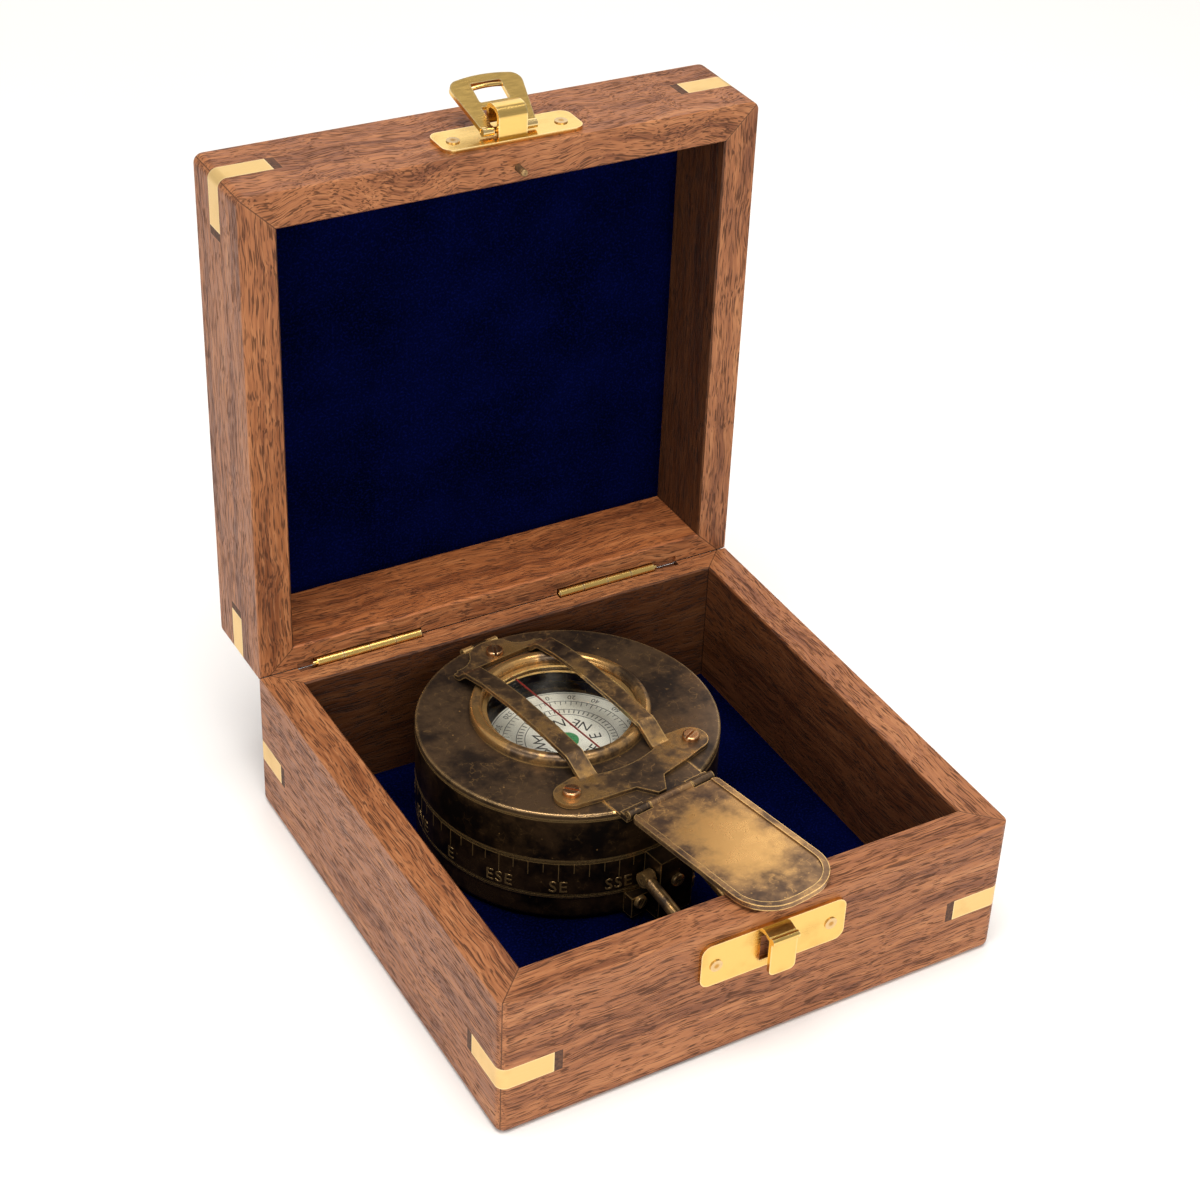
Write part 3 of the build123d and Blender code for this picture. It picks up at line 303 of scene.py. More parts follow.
def aged_brass(name, rubbed_share, wear_and_highlight, rough=0.42, tones=None, thin=False, rub_and_highlight=None, scratched=0.35):
    """Brass chemically browned, then carried about: cloudy patina, golden arrises, scratches and specks."""
    brass = bpy.context.scene.compass_brass
    patina, brown = tones or (brass.patina, brass.brown)
    made, tree = new_material(name)
    place = node(tree, "TexCoord").outputs["Object"]
    cloud = node(
        tree, "TexNoise", {"Vector": place, "Scale": 80.0, "Detail": 6.0, "Roughness": 0.6}
    ).outputs[0]
    mottle = node(
        tree, "TexNoise", {"Vector": place, "Scale": 420.0, "Detail": 4.0, "Roughness": 0.6}
    ).outputs[0]
    broad = node(tree, "Math", (cloud, 0.72), operation="MULTIPLY").outputs[0]
    fine = node(tree, "Math", (mottle, 0.28), operation="MULTIPLY").outputs[0]
    both = node(tree, "Math", (broad, fine), operation="ADD").outputs[0]
    browned = node(
        tree, "MapRange", (both, 0.38 - 0.1 * rubbed_share, 0.6 - 0.1 * rubbed_share), **EASED
    ).outputs[0]
    tone = node(tree, "Mix", {0: browned, 6: patina, 7: brown}, **TONES).outputs[2]
    gold = node(
        tree, "MapRange", (both, 0.62 - 0.3 * rubbed_share, 0.82 - 0.3 * rubbed_share), **EASED
    ).outputs[0]
    if rub_and_highlight:
        # Rubbed, and a painted highlight, brightest round one place, fading towards the ends of the piece
        centre, reach = rub_and_highlight
        local = node(
            tree,
            "Mapping",
            {0: place, "Location": centre, "Rotation": (0, 0, COMPASS_TURN), "Scale": reach},
            vector_type="TEXTURE",
        ).outputs[0]
        near = node(tree, "TexGradient", {"Vector": local}, gradient_type="SPHERICAL").outputs[1]
        above_middle = node(tree, "Math", (both, 0.53), operation="SUBTRACT").outputs[0]
        patchy = node(tree, "Math", (above_middle, 2.2), operation="MULTIPLY").outputs[0]
        rubbed_and_highlight_near = node(tree, "Math", (near, patchy), operation="ADD").outputs[0]
        gold = node(tree, "MapRange", (rubbed_and_highlight_near, 0.0, 0.75, 0.0, 0.95), **EASED).outputs[0]
    tone = node(tree, "Mix", {0: gold, 6: tone, 7: brass.rubbed}, **TONES).outputs[2]
    # Hair scratches: the borders of wandering cells, kept only here and there
    bent = node(tree, "TexNoise", {"Vector": place, "Scale": 300.0, "Detail": 2.0}).outputs["Color"]
    wander = node(tree, "VectorMath", {0: bent, "Scale": 0.004}, operation="SCALE").outputs[0]
    scratch_at = node(tree, "VectorMath", {0: place, 1: wander}, operation="ADD").outputs[0]
    cells = node(
        tree, "TexVoronoi", {"Vector": scratch_at, "Scale": 420.0}, feature="DISTANCE_TO_EDGE"
    ).outputs[0]
    borders = node(tree, "MapRange", (cells, 0.0, 0.04, 1.0, 0.0), **EASED).outputs[0]
    kept_hairs = node(tree, "MapRange", (mottle, 0.48, 0.6), **EASED).outputs[0]
    hairs = node(tree, "Math", (borders, kept_hairs), operation="MULTIPLY").outputs[0]
    dots = node(tree, "TexVoronoi", {"Vector": place, "Scale": 620.0})
    chosen = node(tree, "SeparateColor", {0: dots.outputs["Color"]}).outputs[0]
    spots = node(tree, "MapRange", (dots.outputs[0], 0.07, 0.14, 1.0, 0.0), **EASED).outputs[0]
    kept_dots = node(tree, "MapRange", (chosen, 0.84, 0.88), **EASED).outputs[0]
    specks = node(tree, "Math", (spots, kept_dots), operation="MULTIPLY").outputs[0]
    hair_marks = node(tree, "Math", (hairs, scratched), operation="MULTIPLY").outputs[0]
    dot_marks = node(tree, "Math", (specks, 0.6), operation="MULTIPLY").outputs[0]
    marks = node(tree, "Math", (hair_marks, dot_marks), operation="MAXIMUM").outputs[0]
    tone = node(tree, "Mix", {0: marks, 6: tone, 7: brass.rubbed}, **TONES).outputs[2]
    # Browning stays in the corners that no thumb reaches
    corner = node(tree, "AmbientOcclusion", {"Distance": 0.0022}, samples=6).outputs["AO"]
    sheltered = node(tree, "MapRange", (corner, 0.35, 0.85, 0.75, 0.0), **EASED).outputs[0]
    tone = node(tree, "Mix", {0: sheltered, 6: tone, 7: patina}, **TONES).outputs[2]
    # Bared brass along the arrises, blended pale enough to stand in as a painted highlight as well
    broken = node(tree, "MapRange", (mottle, 0.3, 0.56, 0.6, 1.0), **EASED).outputs[0]
    width = brass.wear_width * (0.45 if thin else 1.0)
    broken_edge = node(tree, "Math", (edge_of(tree, width), broken), operation="MULTIPLY").outputs[0]
    arris = node(tree, "Math", (broken_edge, wear_and_highlight), operation="MULTIPLY").outputs[0]
    tone = node(tree, "Mix", {0: arris, 6: tone, 7: brass.bare_and_highlight}, **TONES).outputs[2]
    bared = node(tree, "Math", (gold, arris), operation="MAXIMUM").outputs[0]
    gloss = node(tree, "MapRange", (both, 0.35, 0.7, rough + 0.1, rough - 0.08), **EASED).outputs[0]
    edge_gloss = node(tree, "Math", (arris, 0.1), operation="MULTIPLY").outputs[0]
    gloss = node(tree, "Math", (gloss, edge_gloss), operation="SUBTRACT").outputs[0]
    pits = node(tree, "Math", (mottle, marks), operation="SUBTRACT").outputs[0]
    relief = node(tree, "Bump", {"Height": pits, "Strength": 0.18, "Distance": 0.00008})
    metal_share = node(tree, "MapRange", (bared, 0.0, 1.0, 0.6, 0.85), **EASED).outputs[0]
    shader = node(
        tree,
        "BsdfPrincipled",
        {"Base Color": tone, "Metallic": metal_share, "Roughness": gloss, "Normal": relief.outputs[0]},
    )
    node(tree, "OutputMaterial", {"Surface": shader.outputs[0]})
    return made


def wax_filler():
    """Stopping wax beside the keys: matt, almost black, slightly grainy."""
    made, tree = new_material("stopping_wax")
    place = node(tree, "TexCoord").outputs["Object"]
    grit = node(tree, "TexNoise", {"Vector": place, "Scale": 1500.0, "Detail": 3.0}).outputs[0]
    lighter_grit = node(tree, "MapRange", (grit, 0.3, 0.7), **EASED).outputs[0]
    tone = node(tree, "Mix", {0: lighter_grit, 6: srgb("3c2315"), 7: srgb("5e3b24")}, **TONES).outputs[2]
    relief = node(tree, "Bump", {"Height": grit, "Strength": 0.3, "Distance": 0.0001})
    shader = node(
        tree, "BsdfPrincipled", {"Base Color": tone, "Roughness": 0.75, "Normal": relief.outputs[0]}
    )
    node(tree, "OutputMaterial", {"Surface": shader.outputs[0]})
    return made


def cotton_velvet():
    """Cut-pile cotton velvet glued on card: near-black blue, brighter where the pile leans to the light."""
    velvet = bpy.context.scene.compass_velvet
    made, tree = new_material("cotton_velvet")
    place = node(tree, "TexCoord").outputs["Object"]
    # Tufts a quarter of a millimetre apart, drawn at twice their real spacing so that they show
    tufts = node(tree, "TexNoise", {"Vector": place, "Scale": 2100.0, "Detail": 2.0}).outputs[0]
    lean = node(tree, "TexNoise", {"Vector": place, "Scale": 55.0, "Detail": 3.0}).outputs[0]
    # Painted sheen: the brighter nap colour is mixed into the base colour on leaning patches and tuft tips
    patches = node(tree, "MapRange", (lean, 0.3, 0.7, 0.0, 0.08), **EASED).outputs[0]
    tips = node(tree, "MapRange", (tufts, 0.45, 0.75, 0.0, 0.2), **EASED).outputs[0]
    share = node(tree, "Math", (patches, tips), operation="ADD").outputs[0]
    tone = node(tree, "Mix", {0: share, 6: velvet.pile, 7: velvet.nap}, **TONES).outputs[2]
    relief = node(tree, "Bump", {"Height": tufts, "Strength": 0.6, "Distance": 0.0003})
    shader = node(
        tree,
        "BsdfPrincipled",
        {
            "Base Color": tone,
            "Roughness": 0.95,
            "Specular IOR Level": 0.0,
            "Sheen Weight": 0.12,
            "Sheen Roughness": 0.35,
            "Sheen Tint": velvet.nap,
            "Normal": relief.outputs[0],
        },
    )
    node(tree, "OutputMaterial", {"Surface": shader.outputs[0]})
    return made


def clear_pane(name, dust_share):
    """Flat mineral glass: clear face-on, a mirror of the room at a slant, with a little dust."""
    made, tree = new_material(name)
    place = node(tree, "TexCoord").outputs["Object"]
    specks = node(tree, "TexVoronoi", {"Vector": place, "Scale": 520.0}).outputs[0]
    haze = node(tree, "TexNoise", {"Vector": place, "Scale": 150.0, "Detail": 4.0}).outputs[0]
    dust_specks = node(tree, "MapRange", (specks, 0.05, 0.11, dust_share * 4, 0.0), **EASED).outputs[0]
    dust_haze = node(tree, "MapRange", (haze, 0.4, 0.8, 0.0, dust_share), **EASED).outputs[0]
    dust = node(tree, "Math", (dust_specks, dust_haze), operation="MAXIMUM").outputs[0]
    through = node(tree, "BsdfTransparent", {"Color": (0.985, 0.99, 0.985)})
    mirror = node(tree, "BsdfPrincipled", {"Base Color": srgb("ffffff"), "Metallic": 1.0, "Roughness": 0.02})
    grime = node(tree, "BsdfPrincipled", {"Base Color": srgb("b9b4aa"), "Roughness": 0.8})
    # Only the near face mirrors: the far one would turn back all that comes from below it
    far_side = node(tree, "NewGeometry").outputs["Backfacing"]
    near_face = node(tree, "Math", (1.0, far_side), operation="SUBTRACT").outputs[0]
    bounce = node(tree, "Fresnel", {"IOR": 1.5}).outputs[0]
    slant = node(tree, "Math", (bounce, near_face), operation="MULTIPLY").outputs[0]
    clean = node(tree, "MixShader", {0: slant, 1: through.outputs[0], 2: mirror.outputs[0]})
    dusty = node(tree, "MixShader", {0: dust, 1: clean.outputs[0], 2: grime.outputs[0]})
    node(tree, "OutputMaterial", {"Surface": dusty.outputs[0]})
    return made


def enamelled_paper():
    """Card of enamelled paper: off-white, faintly yellowed, matt with a soft shine."""
    dial = bpy.context.scene.compass_dial
    made, tree = new_material("enamelled_paper")
    place = node(tree, "TexCoord").outputs["Object"]
    age = node(tree, "TexNoise", {"Vector": place, "Scale": 180.0, "Detail": 5.0}).outputs[0]
    yellowing = node(tree, "MapRange", (age, 0.35, 0.75, 0.0, 0.55), **EASED).outputs[0]
    tone = node(tree, "Mix", {0: yellowing, 6: dial.paper, 7: srgb("cfc6b2")}, **TONES).outputs[2]
    relief = node(tree, "Bump", {"Height": age, "Strength": 0.1, "Distance": 0.0001})
    shader = node(
        tree, "BsdfPrincipled", {"Base Color": tone, "Roughness": 0.55, "Normal": relief.outputs[0]}
    )
    node(tree, "OutputMaterial", {"Surface": shader.outputs[0]})
    return made


def flat_coat(name, tone, second, rough, grain, metal=0.0):
    """Ink, enamel or ground steel: two close tones that wander at the grain's spacing."""
    made, tree = new_material(name)
    place = node(tree, "TexCoord").outputs["Object"]
    drift = node(tree, "TexNoise", {"Vector": place, "Scale": 1.0 / grain, "Detail": 4.0}).outputs[0]
    drifted = node(tree, "MapRange", (drift, 0.35, 0.65), **EASED).outputs[0]
    blend = node(tree, "Mix", {0: drifted, 6: tone, 7: second}, **TONES).outputs[2]
    relief = node(tree, "Bump", {"Height": drift, "Strength": 0.1, "Distance": 0.00005})
    gloss = node(tree, "MapRange", (drift, 0.3, 0.7, rough * 0.85, rough * 1.15), **EASED).outputs[0]
    shader = node(
        tree,
        "BsdfPrincipled",
        {"Base Color": blend, "Metallic": metal, "Roughness": gloss, "Normal": relief.outputs[0]},
    )
    node(tree, "OutputMaterial", {"Surface": shader.outputs[0]})
    return made


def piece_from(shape, name, body, material):
    """Turns a bmesh into a named piece that rides on a body."""
    mesh = bpy.data.meshes.new(name)
    shape.to_mesh(mesh)
    shape.free()
    piece = bpy.data.objects.new(name, mesh)
    bpy.context.scene.collection.objects.link(piece)
    mesh.materials.append(material)
    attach(piece, body)
    return piece


def lettering(text, size, depth, spread=1.0):
    """A bmesh of raised letters, centred on the origin, reading along +X with its top towards +Y."""
    curve = bpy.data.curves.new("lettering", "FONT")
    curve.body = text
    curve.size = size
    curve.extrude = depth / 2
    curve.align_x = "CENTER"
    curve.align_y = "CENTER"
    curve.space_character = spread
    curve.resolution_u = 3
    holder = bpy.data.objects.new("lettering", curve)
    bpy.context.scene.collection.objects.link(holder)
    mesh = bpy.data.meshes.new_from_object(holder)
    shape = bmesh.new()
    shape.from_mesh(mesh)
    bpy.data.objects.remove(holder)
    bpy.data.curves.remove(curve)
    bpy.data.meshes.remove(mesh)
    bmesh.ops.remove_doubles(shape, verts=shape.verts, dist=1e-7)
    return shape


def joined(target, source):
    """Adds source's faces to target and frees source."""
    mesh = bpy.data.meshes.new("join")
    source.to_mesh(mesh)
    source.free()
    target.from_mesh(mesh)
    bpy.data.meshes.remove(mesh)


def small_bar(width, depth, height, centre=(0, 0, 0)):
    """A bmesh of a plain bar, centred on a point."""
    bar = bmesh.new()
    size = Matrix.Diagonal((width, depth, height, 1))
    bmesh.ops.create_cube(bar, size=1, matrix=Matrix.Translation(centre) @ size)
    return bar


class COMPASSBOX_OT_boards(bpy.types.Operator):
    """Gives every board its own run of rosewood grain, along its length"""

    bl_idname = "compassbox.boards"
    bl_label = "Rosewood Boards"

    def execute(self, context):
        # Grain direction, where in the log, how wavy, and how much painted shade darkens the inside face
        # (above 1, painted light brightens it)
        lid = ((1, 0, 1), (0, 0.066, 0.08795))
        case = ((1, 1, 0), (0, 0, 0))
        grains = {
            "base_front_wall": ("x", (0.10, 0.30, 0.05), 0.8, 0.45, *case),
            "base_back_wall": ("x", (0.50, 0.12, 0.35), 1.0, 0.24, *case),
            "base_left_wall": ("y", (0.90, 0.40, 0.15), 0.8, 0.45, *case),
            "base_right_wall": ("y", (0.30, 0.80, 0.55), 1.0, 0.40, *case),
            "base_floor_panel": ("x", (0.70, 0.20, 0.75), 1.2, 1.0, *case, 0.0),
            "lid_front_wall": ("x", (0.25, 0.60, 0.95), 2.4, 0.45, *lid),
            "lid_back_wall": ("x", (0.65, 0.15, 0.45), 1.2, 1.15, *lid),
            "lid_left_wall": ("z", (0.45, 0.70, 0.10), 0.9, 0.22, *lid),
            "lid_right_wall": ("z", (0.15, 0.90, 0.30), 0.9, 0.22, *lid),
            "lid_top_panel": ("x", (0.85, 0.50, 0.65), 1.6, 1.0, *lid, 0.0),
        }
        for name, facts in grains.items():
            dress(oiled_rosewood("oiled_rosewood_" + name, *facts), name)
        dress(wax_filler(), "base_key_fillers", "lid_key_fillers")
        return {"FINISHED"}


class COMPASSBOX_OT_velvet(bpy.types.Operator):
    """Lays cut-pile velvet over the two lining panels, slightly rippled with rolled edges"""

    bl_idname = "compassbox.velvet"
    bl_label = "Velvet Linings"

    def execute(self, context):
        velvet = context.scene.compass_velvet
        pile = cotton_velvet()
        for node_name, body, up in (("base_velvet", "base", 2), ("lid_velvet", "case_lid", 1)):
            low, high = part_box(node_name)
            centre, size = (low + high) / 2, high - low
            cloth = bmesh.new()
            place = Matrix.Translation(centre) @ Matrix.Diagonal((*size, 1))
            bmesh.ops.create_cube(cloth, size=1, matrix=place)
            face_sign = 1 if up == 2 else -1
            show = high[up] if face_sign > 0 else low[up]
            long_edges = [
                edge for edge in cloth.edges if abs((edge.verts[0].co - edge.verts[1].co)[up]) < 1e-6
            ]
            cuts = int(max(size) / velvet.cell)
            bmesh.ops.subdivide_edges(cloth, edges=long_edges, cuts=cuts, use_grid_fill=True)
            rim = 0.8 * MM
            for vert in cloth.verts:
                if abs(vert.co[up] - show) > 1e-6:
                    continue
                inset = min(
                    min(vert.co[a] - low[a], high[a] - vert.co[a]) for a in range(3) if a != up
                )
                roll = 0.35 * MM * max(0.0, 1 - inset / rim) ** 2
                wave = noise.noise(vert.co * 45) * 0.5 + 0.5
                vert.co[up] -= face_sign * (roll + velvet.ripple * wave)
            bmesh.ops.recalc_face_normals(cloth, faces=cloth.faces)
            piece = piece_from(cloth, node_name + "_pile", body, pile)
            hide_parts(node_name)
            for polygon in piece.data.polygons:
                polygon.use_smooth = True
        return {"FINISHED"}


class COMPASSBOX_OT_case_brass(bpy.types.Operator):
    """Polishes the latch, hasp and hinges, and gives the flush corner keys a satin face"""

    bl_idname = "compassbox.case_brass"
    bl_label = "Case Brass"

    def execute(self, context):
        brass = context.scene.compass_brass
        bright = polished_brass("buffed_yellow_brass", brass.bright, 0.22, 0.25)
        dress(
            bright,
            "base_latch_plate",
            "lid_latch_plate",
            "hasp_plate",
            "hasp_pivot_bar",
            "hasp_spring_bar",
            "left_hinge_base_leaf",
            "right_hinge_base_leaf",
            "left_hinge_pin",
            "right_hinge_pin",
            "left_hinge_lid_leaf",
            "right_hinge_lid_leaf",
        )
        dress(
            polished_brass("satin_inlay_brass", brass.inlay, 0.42, 0.15, 0.6),
            "base_corner_keys",
            "lid_corner_keys",
        )
        nails = polished_brass("nail_brass", srgb("c08f45"), 0.34, 0.6)
        dress(nails, "base_latch_nails", "lid_latch_nails")
        dress(aged_brass("dull_pin_brass", 0.6, 0.6), "locating_pin")
        return {"FINISHED"}


class COMPASSBOX_OT_compass_brass(bpy.types.Operator):
    """Browns the compass: darkest on the drum, warmer on the bezel and guard, golden on the flap"""

    bl_idname = "compassbox.compass_brass"
    bl_label = "Compass Brass"

    def execute(self, context):
        brass = context.scene.compass_brass
        drum_tones = (brass.drum_patina, brass.drum_brown)
        drum = aged_brass("dark_browned_brass", -0.3, 0.8, 0.32, drum_tones, thin=True, scratched=0.1)
        dress(
            drum,
            "compass_bowl",
            "compass_upper_case",
            "numeral_ring",
            "ring_bracket",
            "cover_hinge_case_leaf",
            "cover_hinge_pin",
            "card_glass_ring",
            "pivot_post",
        )
        dress(aged_brass("browned_cover_brass", -0.05, 1.0, 0.32, scratched=0.2), "cover_disc")
        dress(
            aged_brass("browned_hinge_brass", 0.1, 0.9, 0.34, thin=True),
            "flap_hinge_leaf",
            "flap_hinge_pin",
        )
        dress(aged_brass("rubbed_bezel_brass", 0.7, 1.0, 0.26), "window_bezel", "window_glass_ring")
        dress(aged_brass("rubbed_guard_brass", 0.5, 1.0, 0.27, thin=True), "strap_guard")
        dress(aged_brass("handled_ring_brass", 0.70, 1.0, 0.30), "thumb_ring", "ring_pivot_rod")
        low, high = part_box("flap")
        middle = (low + high) / 2
        # Rubbed patch and painted highlight round the middle of the flap
        rub_and_highlight = (Vector((middle.x, middle.y + 0.001, middle.z)), (0.015, 0.024, 0.02))
        flap_tones = (brass.flap_patina, brass.flap_brown)
        dress(aged_brass("rubbed_and_highlighted_flap_brass", 0.4, 1.0, 0.30, flap_tones, True, rub_and_highlight, 0.5), "flap")
        copper = polished_brass("coppery_screw_brass", brass.copper, 0.30, 0.7)
        dress(copper, "guard_screws")
        dress(aged_brass("browned_screw_brass", 0.45, 1.0, 0.35), "ring_bracket_screws")
        return {"FINISHED"}


class COMPASSBOX_OT_ring_marks(bpy.types.Operator):
    """Raises the sixteen points of the compass and their lines round the numeral ring"""

    bl_idname = "compassbox.ring_marks"
    bl_label = "Numeral Ring Marks"

    def execute(self, context):
        dial = context.scene.compass_dial
        radius = (RING_HIGH.x - RING_LOW.x) / 2
        centre = Vector(((RING_HIGH.x + RING_LOW.x) / 2, (RING_HIGH.y + RING_LOW.y) / 2, 0))
        low, high = RING_LOW.z, RING_HIGH.z
        points = "N NNE NE ENE E ESE SE SSE S SSW SW WSW W WNW NW NNW".split()
        south_east = math.radians(-121.2)
        step = math.tau / dial.points
        marks = bmesh.new()

        def wrap(shape, angle, level):
            # x runs round the ring, y up it, and z stands off its face
            for vert in shape.verts:
                at = angle + vert.co.x / radius
                out = radius + vert.co.z
                spot = Vector((out * math.cos(at), out * math.sin(at), level + vert.co.y))
                vert.co = centre + spot
            joined(marks, shape)

        sunk = 0.15 * MM
        font_size = dial.letter_height * FONT_PER_CAPITAL
        line_rise = dial.raise_by * 0.6
        line_width = 0.16 * MM
        letter_level = low + 2.75 * MM
        line_top = high - 0.9 * MM
        point_line = 4.4 * MM
        half_line = 3.2 * MM
        short_line = 2.2 * MM
        for index in range(dial.points):
            angle = south_east + (index - 6) * step
            word = lettering(points[index], font_size, sunk + dial.raise_by, 1.08)
            bmesh.ops.translate(word, verts=word.verts, vec=(0, 0, (dial.raise_by - sunk) / 2))
            wrap(word, angle, letter_level)
            for line in range(dial.fine_lines):
                tall = {0: point_line, 2: half_line}.get(line, short_line)
                bar = small_bar(line_width, tall, sunk + line_rise)
                bmesh.ops.translate(bar, verts=bar.verts, vec=(0, 0, (line_rise - sunk) / 2))
                at = angle + line * step / dial.fine_lines
                wrap(bar, at, line_top - tall / 2)
        bmesh.ops.recalc_face_normals(marks, faces=marks.faces)
        brass = context.scene.compass_brass
        worn = aged_brass(
            "worn_mark_brass", 0.0, 0.5, 0.36, (brass.drum_patina, brass.drum_brown), thin=True
        )
        piece_from(marks, "numeral_ring_marks", "numeral_ring", worn)
        return {"FINISHED"}


class COMPASSBOX_OT_card(bpy.types.Operator):
    """Prints the card's two scales and large figures, and paints its hub and the sighting line"""

    bl_idname = "compassbox.card"
    bl_label = "Compass Card"

    def execute(self, context):
        dial = context.scene.compass_dial
        radius = (CARD_HIGH.x - CARD_LOW.x) / 2
        level = CARD_HIGH.z
        centre = Vector(((CARD_HIGH.x + CARD_LOW.x) / 2, (CARD_HIGH.y + CARD_LOW.y) / 2, level))
        film = 0.02 * MM
        printed = bmesh.new()

        def place(shape, angle):
            turn = Matrix.Translation(centre) @ Matrix.Rotation(angle, 4, "Z")
            bmesh.ops.transform(shape, matrix=turn, verts=shape.verts)
            joined(printed, shape)

        # Degrees run clockwise, as on any card, from where it happened to settle
        settled = 348.4
        for degrees in range(0, 360, 5):
            angle = math.radians(settled - degrees)
            tall = 1.3 * MM if degrees % 10 == 0 else 0.8 * MM
            place(small_bar(0.16 * MM, tall, film, (0, radius - 3.4 * MM - tall / 2, 0)), angle)
        for degrees in range(0, 360, 6):
            angle = math.radians(degrees)
            place(small_bar(0.22 * MM, 1.1 * MM, film, (0, radius - 6.9 * MM, 0)), angle)
        for inset in (0.35, 3.2, 6.1, 7.9):
            line = bmesh.new()
            bmesh.ops.create_circle(line, cap_ends=False, radius=radius - inset * MM, segments=128)
            spun = bmesh.ops.extrude_edge_only(line, edges=line.edges)
            rim = [v for v in spun["geom"] if isinstance(v, bmesh.types.BMVert)]
            share = (radius - (inset + 0.14) * MM) / (radius - inset * MM)
            bmesh.ops.scale(line, verts=rim, vec=(share, share, 1))
            bmesh.ops.translate(line, verts=line.verts, vec=(0, 0, film))
            bmesh.ops.solidify(line, geom=line.faces, thickness=film)
            place(line, 0.0)
        for degrees in range(0, 360, 20):
            angle = math.radians(settled - degrees)
            small = lettering(str(degrees), 1.9 * MM, film)
            bmesh.ops.rotate(small, matrix=Matrix.Rotation(math.pi, 3, "Z"), verts=small.verts)
            bmesh.ops.translate(small, verts=small.verts, vec=(0, radius - 1.8 * MM, 0))
            place(small, angle)
        for index, point in enumerate("N NE E SE S SW W NW".split()):
            angle = math.radians(settled - index * 45)
            large = lettering(point, 3.7 * MM, film, 0.95)
            bmesh.ops.rotate(large, matrix=Matrix.Rotation(math.pi, 3, "Z"), verts=large.verts)
            bmesh.ops.translate(large, verts=large.verts, vec=(0, 6.3 * MM, 0))
            place(large, angle)
        bmesh.ops.recalc_face_normals(printed, faces=printed.faces)
        ink = flat_coat("printing_ink", dial.ink, srgb("2b2a2c"), 0.5, 0.0006)
        piece_from(printed, "card_printing", "card", ink)
        dress(enamelled_paper(), "compass_card")
        green = flat_coat("green_enamel", dial.hub, srgb("2f7d49"), 0.25, 0.002)
        dress(green, "card_hub")
        red = flat_coat("red_enamel", dial.line, srgb("7c2019"), 0.35, 0.001)
        dress(red, "hairline")
        steel = flat_coat("ground_steel", srgb("8e9094"), srgb("6d7076"), 0.32, 0.0008, metal=1.0)
        dress(steel, "card_magnet")
        return {"FINISHED"}


class COMPASSBOX_OT_glass(bpy.types.Operator):
    """Glazes the window and the card's cover glass"""

    bl_idname = "compassbox.glass"
    bl_label = "Glass"

    def execute(self, context):
        dress(clear_pane("window_mineral_glass", 0.05), "window_glass")
        dress(clear_pane("card_mineral_glass", 0.02), "card_glass")
        return {"FINISHED"}


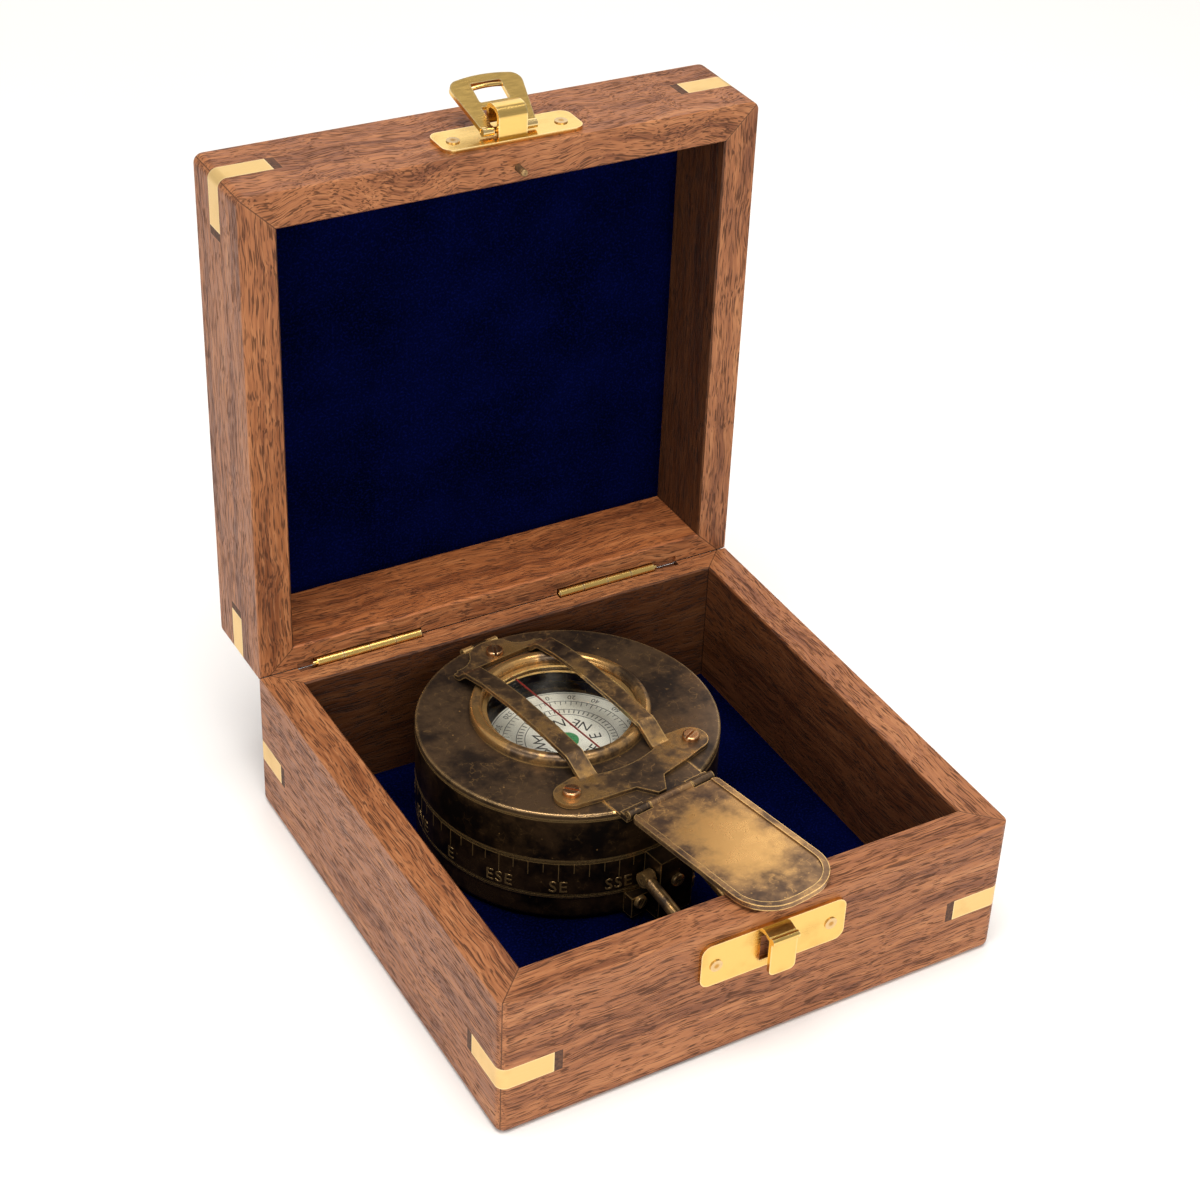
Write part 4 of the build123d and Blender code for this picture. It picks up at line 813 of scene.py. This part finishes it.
class COMPASSBOX_OT_stage(bpy.types.Operator):
    """Sets the pale sweep, three soft lights, the room's even light and the camera"""

    bl_idname = "compassbox.stage"
    bl_label = "Stage"

    def execute(self, context):
        scene, studio = context.scene, context.scene.compass_studio
        sweep = bmesh.new()
        bmesh.ops.create_grid(sweep, x_segments=8, y_segments=8, size=3.0)
        mesh = bpy.data.meshes.new("studio_floor")
        sweep.to_mesh(mesh)
        sweep.free()
        floor = bpy.data.objects.new("studio_floor", mesh)
        scene.collection.objects.link(floor)
        paper, tree = new_material("matt_backdrop_paper")
        place = node(tree, "TexCoord").outputs["Object"]
        drift = node(tree, "TexNoise", {"Vector": place, "Scale": 4.0, "Detail": 3.0}).outputs[0]
        paper_drift = node(tree, "MapRange", (drift, 0.3, 0.7, 0.0, 0.3), **EASED).outputs[0]
        tone = node(tree, "Mix", {0: paper_drift, 6: studio.floor, 7: srgb("efeeec")}, **TONES).outputs[2]
        shader = node(tree, "BsdfPrincipled", {"Base Color": tone, "Roughness": 0.9})
        node(tree, "OutputMaterial", {"Surface": shader.outputs[0]})
        mesh.materials.append(paper)
        focus = Vector((0, 0.01, 0.05))
        lights = (
            ("top_softbox", (-0.10, -0.15, 1.20), 0.80, studio.top, "fffaf4"),
            ("front_softbox", (-0.25, -1.35, 0.38), 0.80, studio.front, "fffbf6"),
            ("left_softbox", (-1.30, -0.35, 0.42), 0.80, studio.left, "fcfbff"),
            ("back_softbox", (0.75, 1.10, 1.05), 1.00, studio.back, "ffffff"),
        )
        for name, spot, size, power, tint in lights:
            lamp = bpy.data.lights.new(name, "AREA")
            lamp.shape = "SQUARE"
            lamp.size = size
            lamp.energy = power
            lamp.color = srgb(tint)
            light = bpy.data.objects.new(name, lamp)
            light.location = spot
            light.rotation_euler = (focus - Vector(spot)).to_track_quat("-Z", "Y").to_euler()
            scene.collection.objects.link(light)
        room = bpy.data.worlds.new("room_light")
        room.use_nodes = True
        room.node_tree.nodes["Background"].inputs[0].default_value = (*srgb("fafafc"), 1.0)
        room.node_tree.nodes["Background"].inputs[1].default_value = studio.ambient
        scene.world = room
        # Camera found from the box's straight edges in the photograph
        lens = bpy.data.cameras.new("photo_camera")
        lens.lens = 74.97
        lens.sensor_width = 36.0
        lens.shift_x = -0.1023
        lens.shift_y = -0.0015
        camera = bpy.data.objects.new("photo_camera", lens)
        camera.location = (-0.211868, -0.347988, 0.352842)
        camera.rotation_euler = [math.radians(a) for a in (55.34945, -3.68529, -31.30790)]
        scene.collection.objects.link(camera)
        scene.camera = camera
        scene.view_settings.view_transform = "Standard"
        return {"FINISHED"}


GROUPS = (RosewoodSettings, BrassSettings, VelvetSettings, DialSettings, StudioSettings)
STEPS = (
    COMPASSBOX_OT_boards,
    COMPASSBOX_OT_velvet,
    COMPASSBOX_OT_case_brass,
    COMPASSBOX_OT_compass_brass,
    COMPASSBOX_OT_ring_marks,
    COMPASSBOX_OT_card,
    COMPASSBOX_OT_glass,
    COMPASSBOX_OT_stage,
)


class COMPASSBOX_PT_panel(bpy.types.Panel):
    """Lists the steps that finish the compass box"""

    bl_idname = "COMPASSBOX_PT_panel"
    bl_label = "Compass Box"
    bl_space_type = "VIEW_3D"
    bl_region_type = "UI"
    bl_category = "Compass Box"

    def draw(self, context):
        for step in STEPS:
            self.layout.operator(step.bl_idname)


def register():
    """Registers the settings, steps and panel, and hangs the settings on the scene."""
    for group in GROUPS + STEPS + (COMPASSBOX_PT_panel,):
        bpy.utils.register_class(group)
    bpy.types.Scene.compass_rosewood = PointerProperty(type=RosewoodSettings)
    bpy.types.Scene.compass_brass = PointerProperty(type=BrassSettings)
    bpy.types.Scene.compass_velvet = PointerProperty(type=VelvetSettings)
    bpy.types.Scene.compass_dial = PointerProperty(type=DialSettings)
    bpy.types.Scene.compass_studio = PointerProperty(type=StudioSettings)


def unregister():
    """Takes away what register added."""
    del bpy.types.Scene.compass_studio
    del bpy.types.Scene.compass_dial
    del bpy.types.Scene.compass_velvet
    del bpy.types.Scene.compass_brass
    del bpy.types.Scene.compass_rosewood
    for group in reversed(GROUPS + STEPS + (COMPASSBOX_PT_panel,)):
        bpy.utils.unregister_class(group)


def main():
    """Runs every step in order."""
    register()
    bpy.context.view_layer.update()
    bpy.ops.compassbox.boards()
    bpy.ops.compassbox.velvet()
    bpy.ops.compassbox.case_brass()
    bpy.ops.compassbox.compass_brass()
    bpy.ops.compassbox.ring_marks()
    bpy.ops.compassbox.card()
    bpy.ops.compassbox.glass()
    bpy.ops.compassbox.stage()


if __name__ == "__main__":
    main()
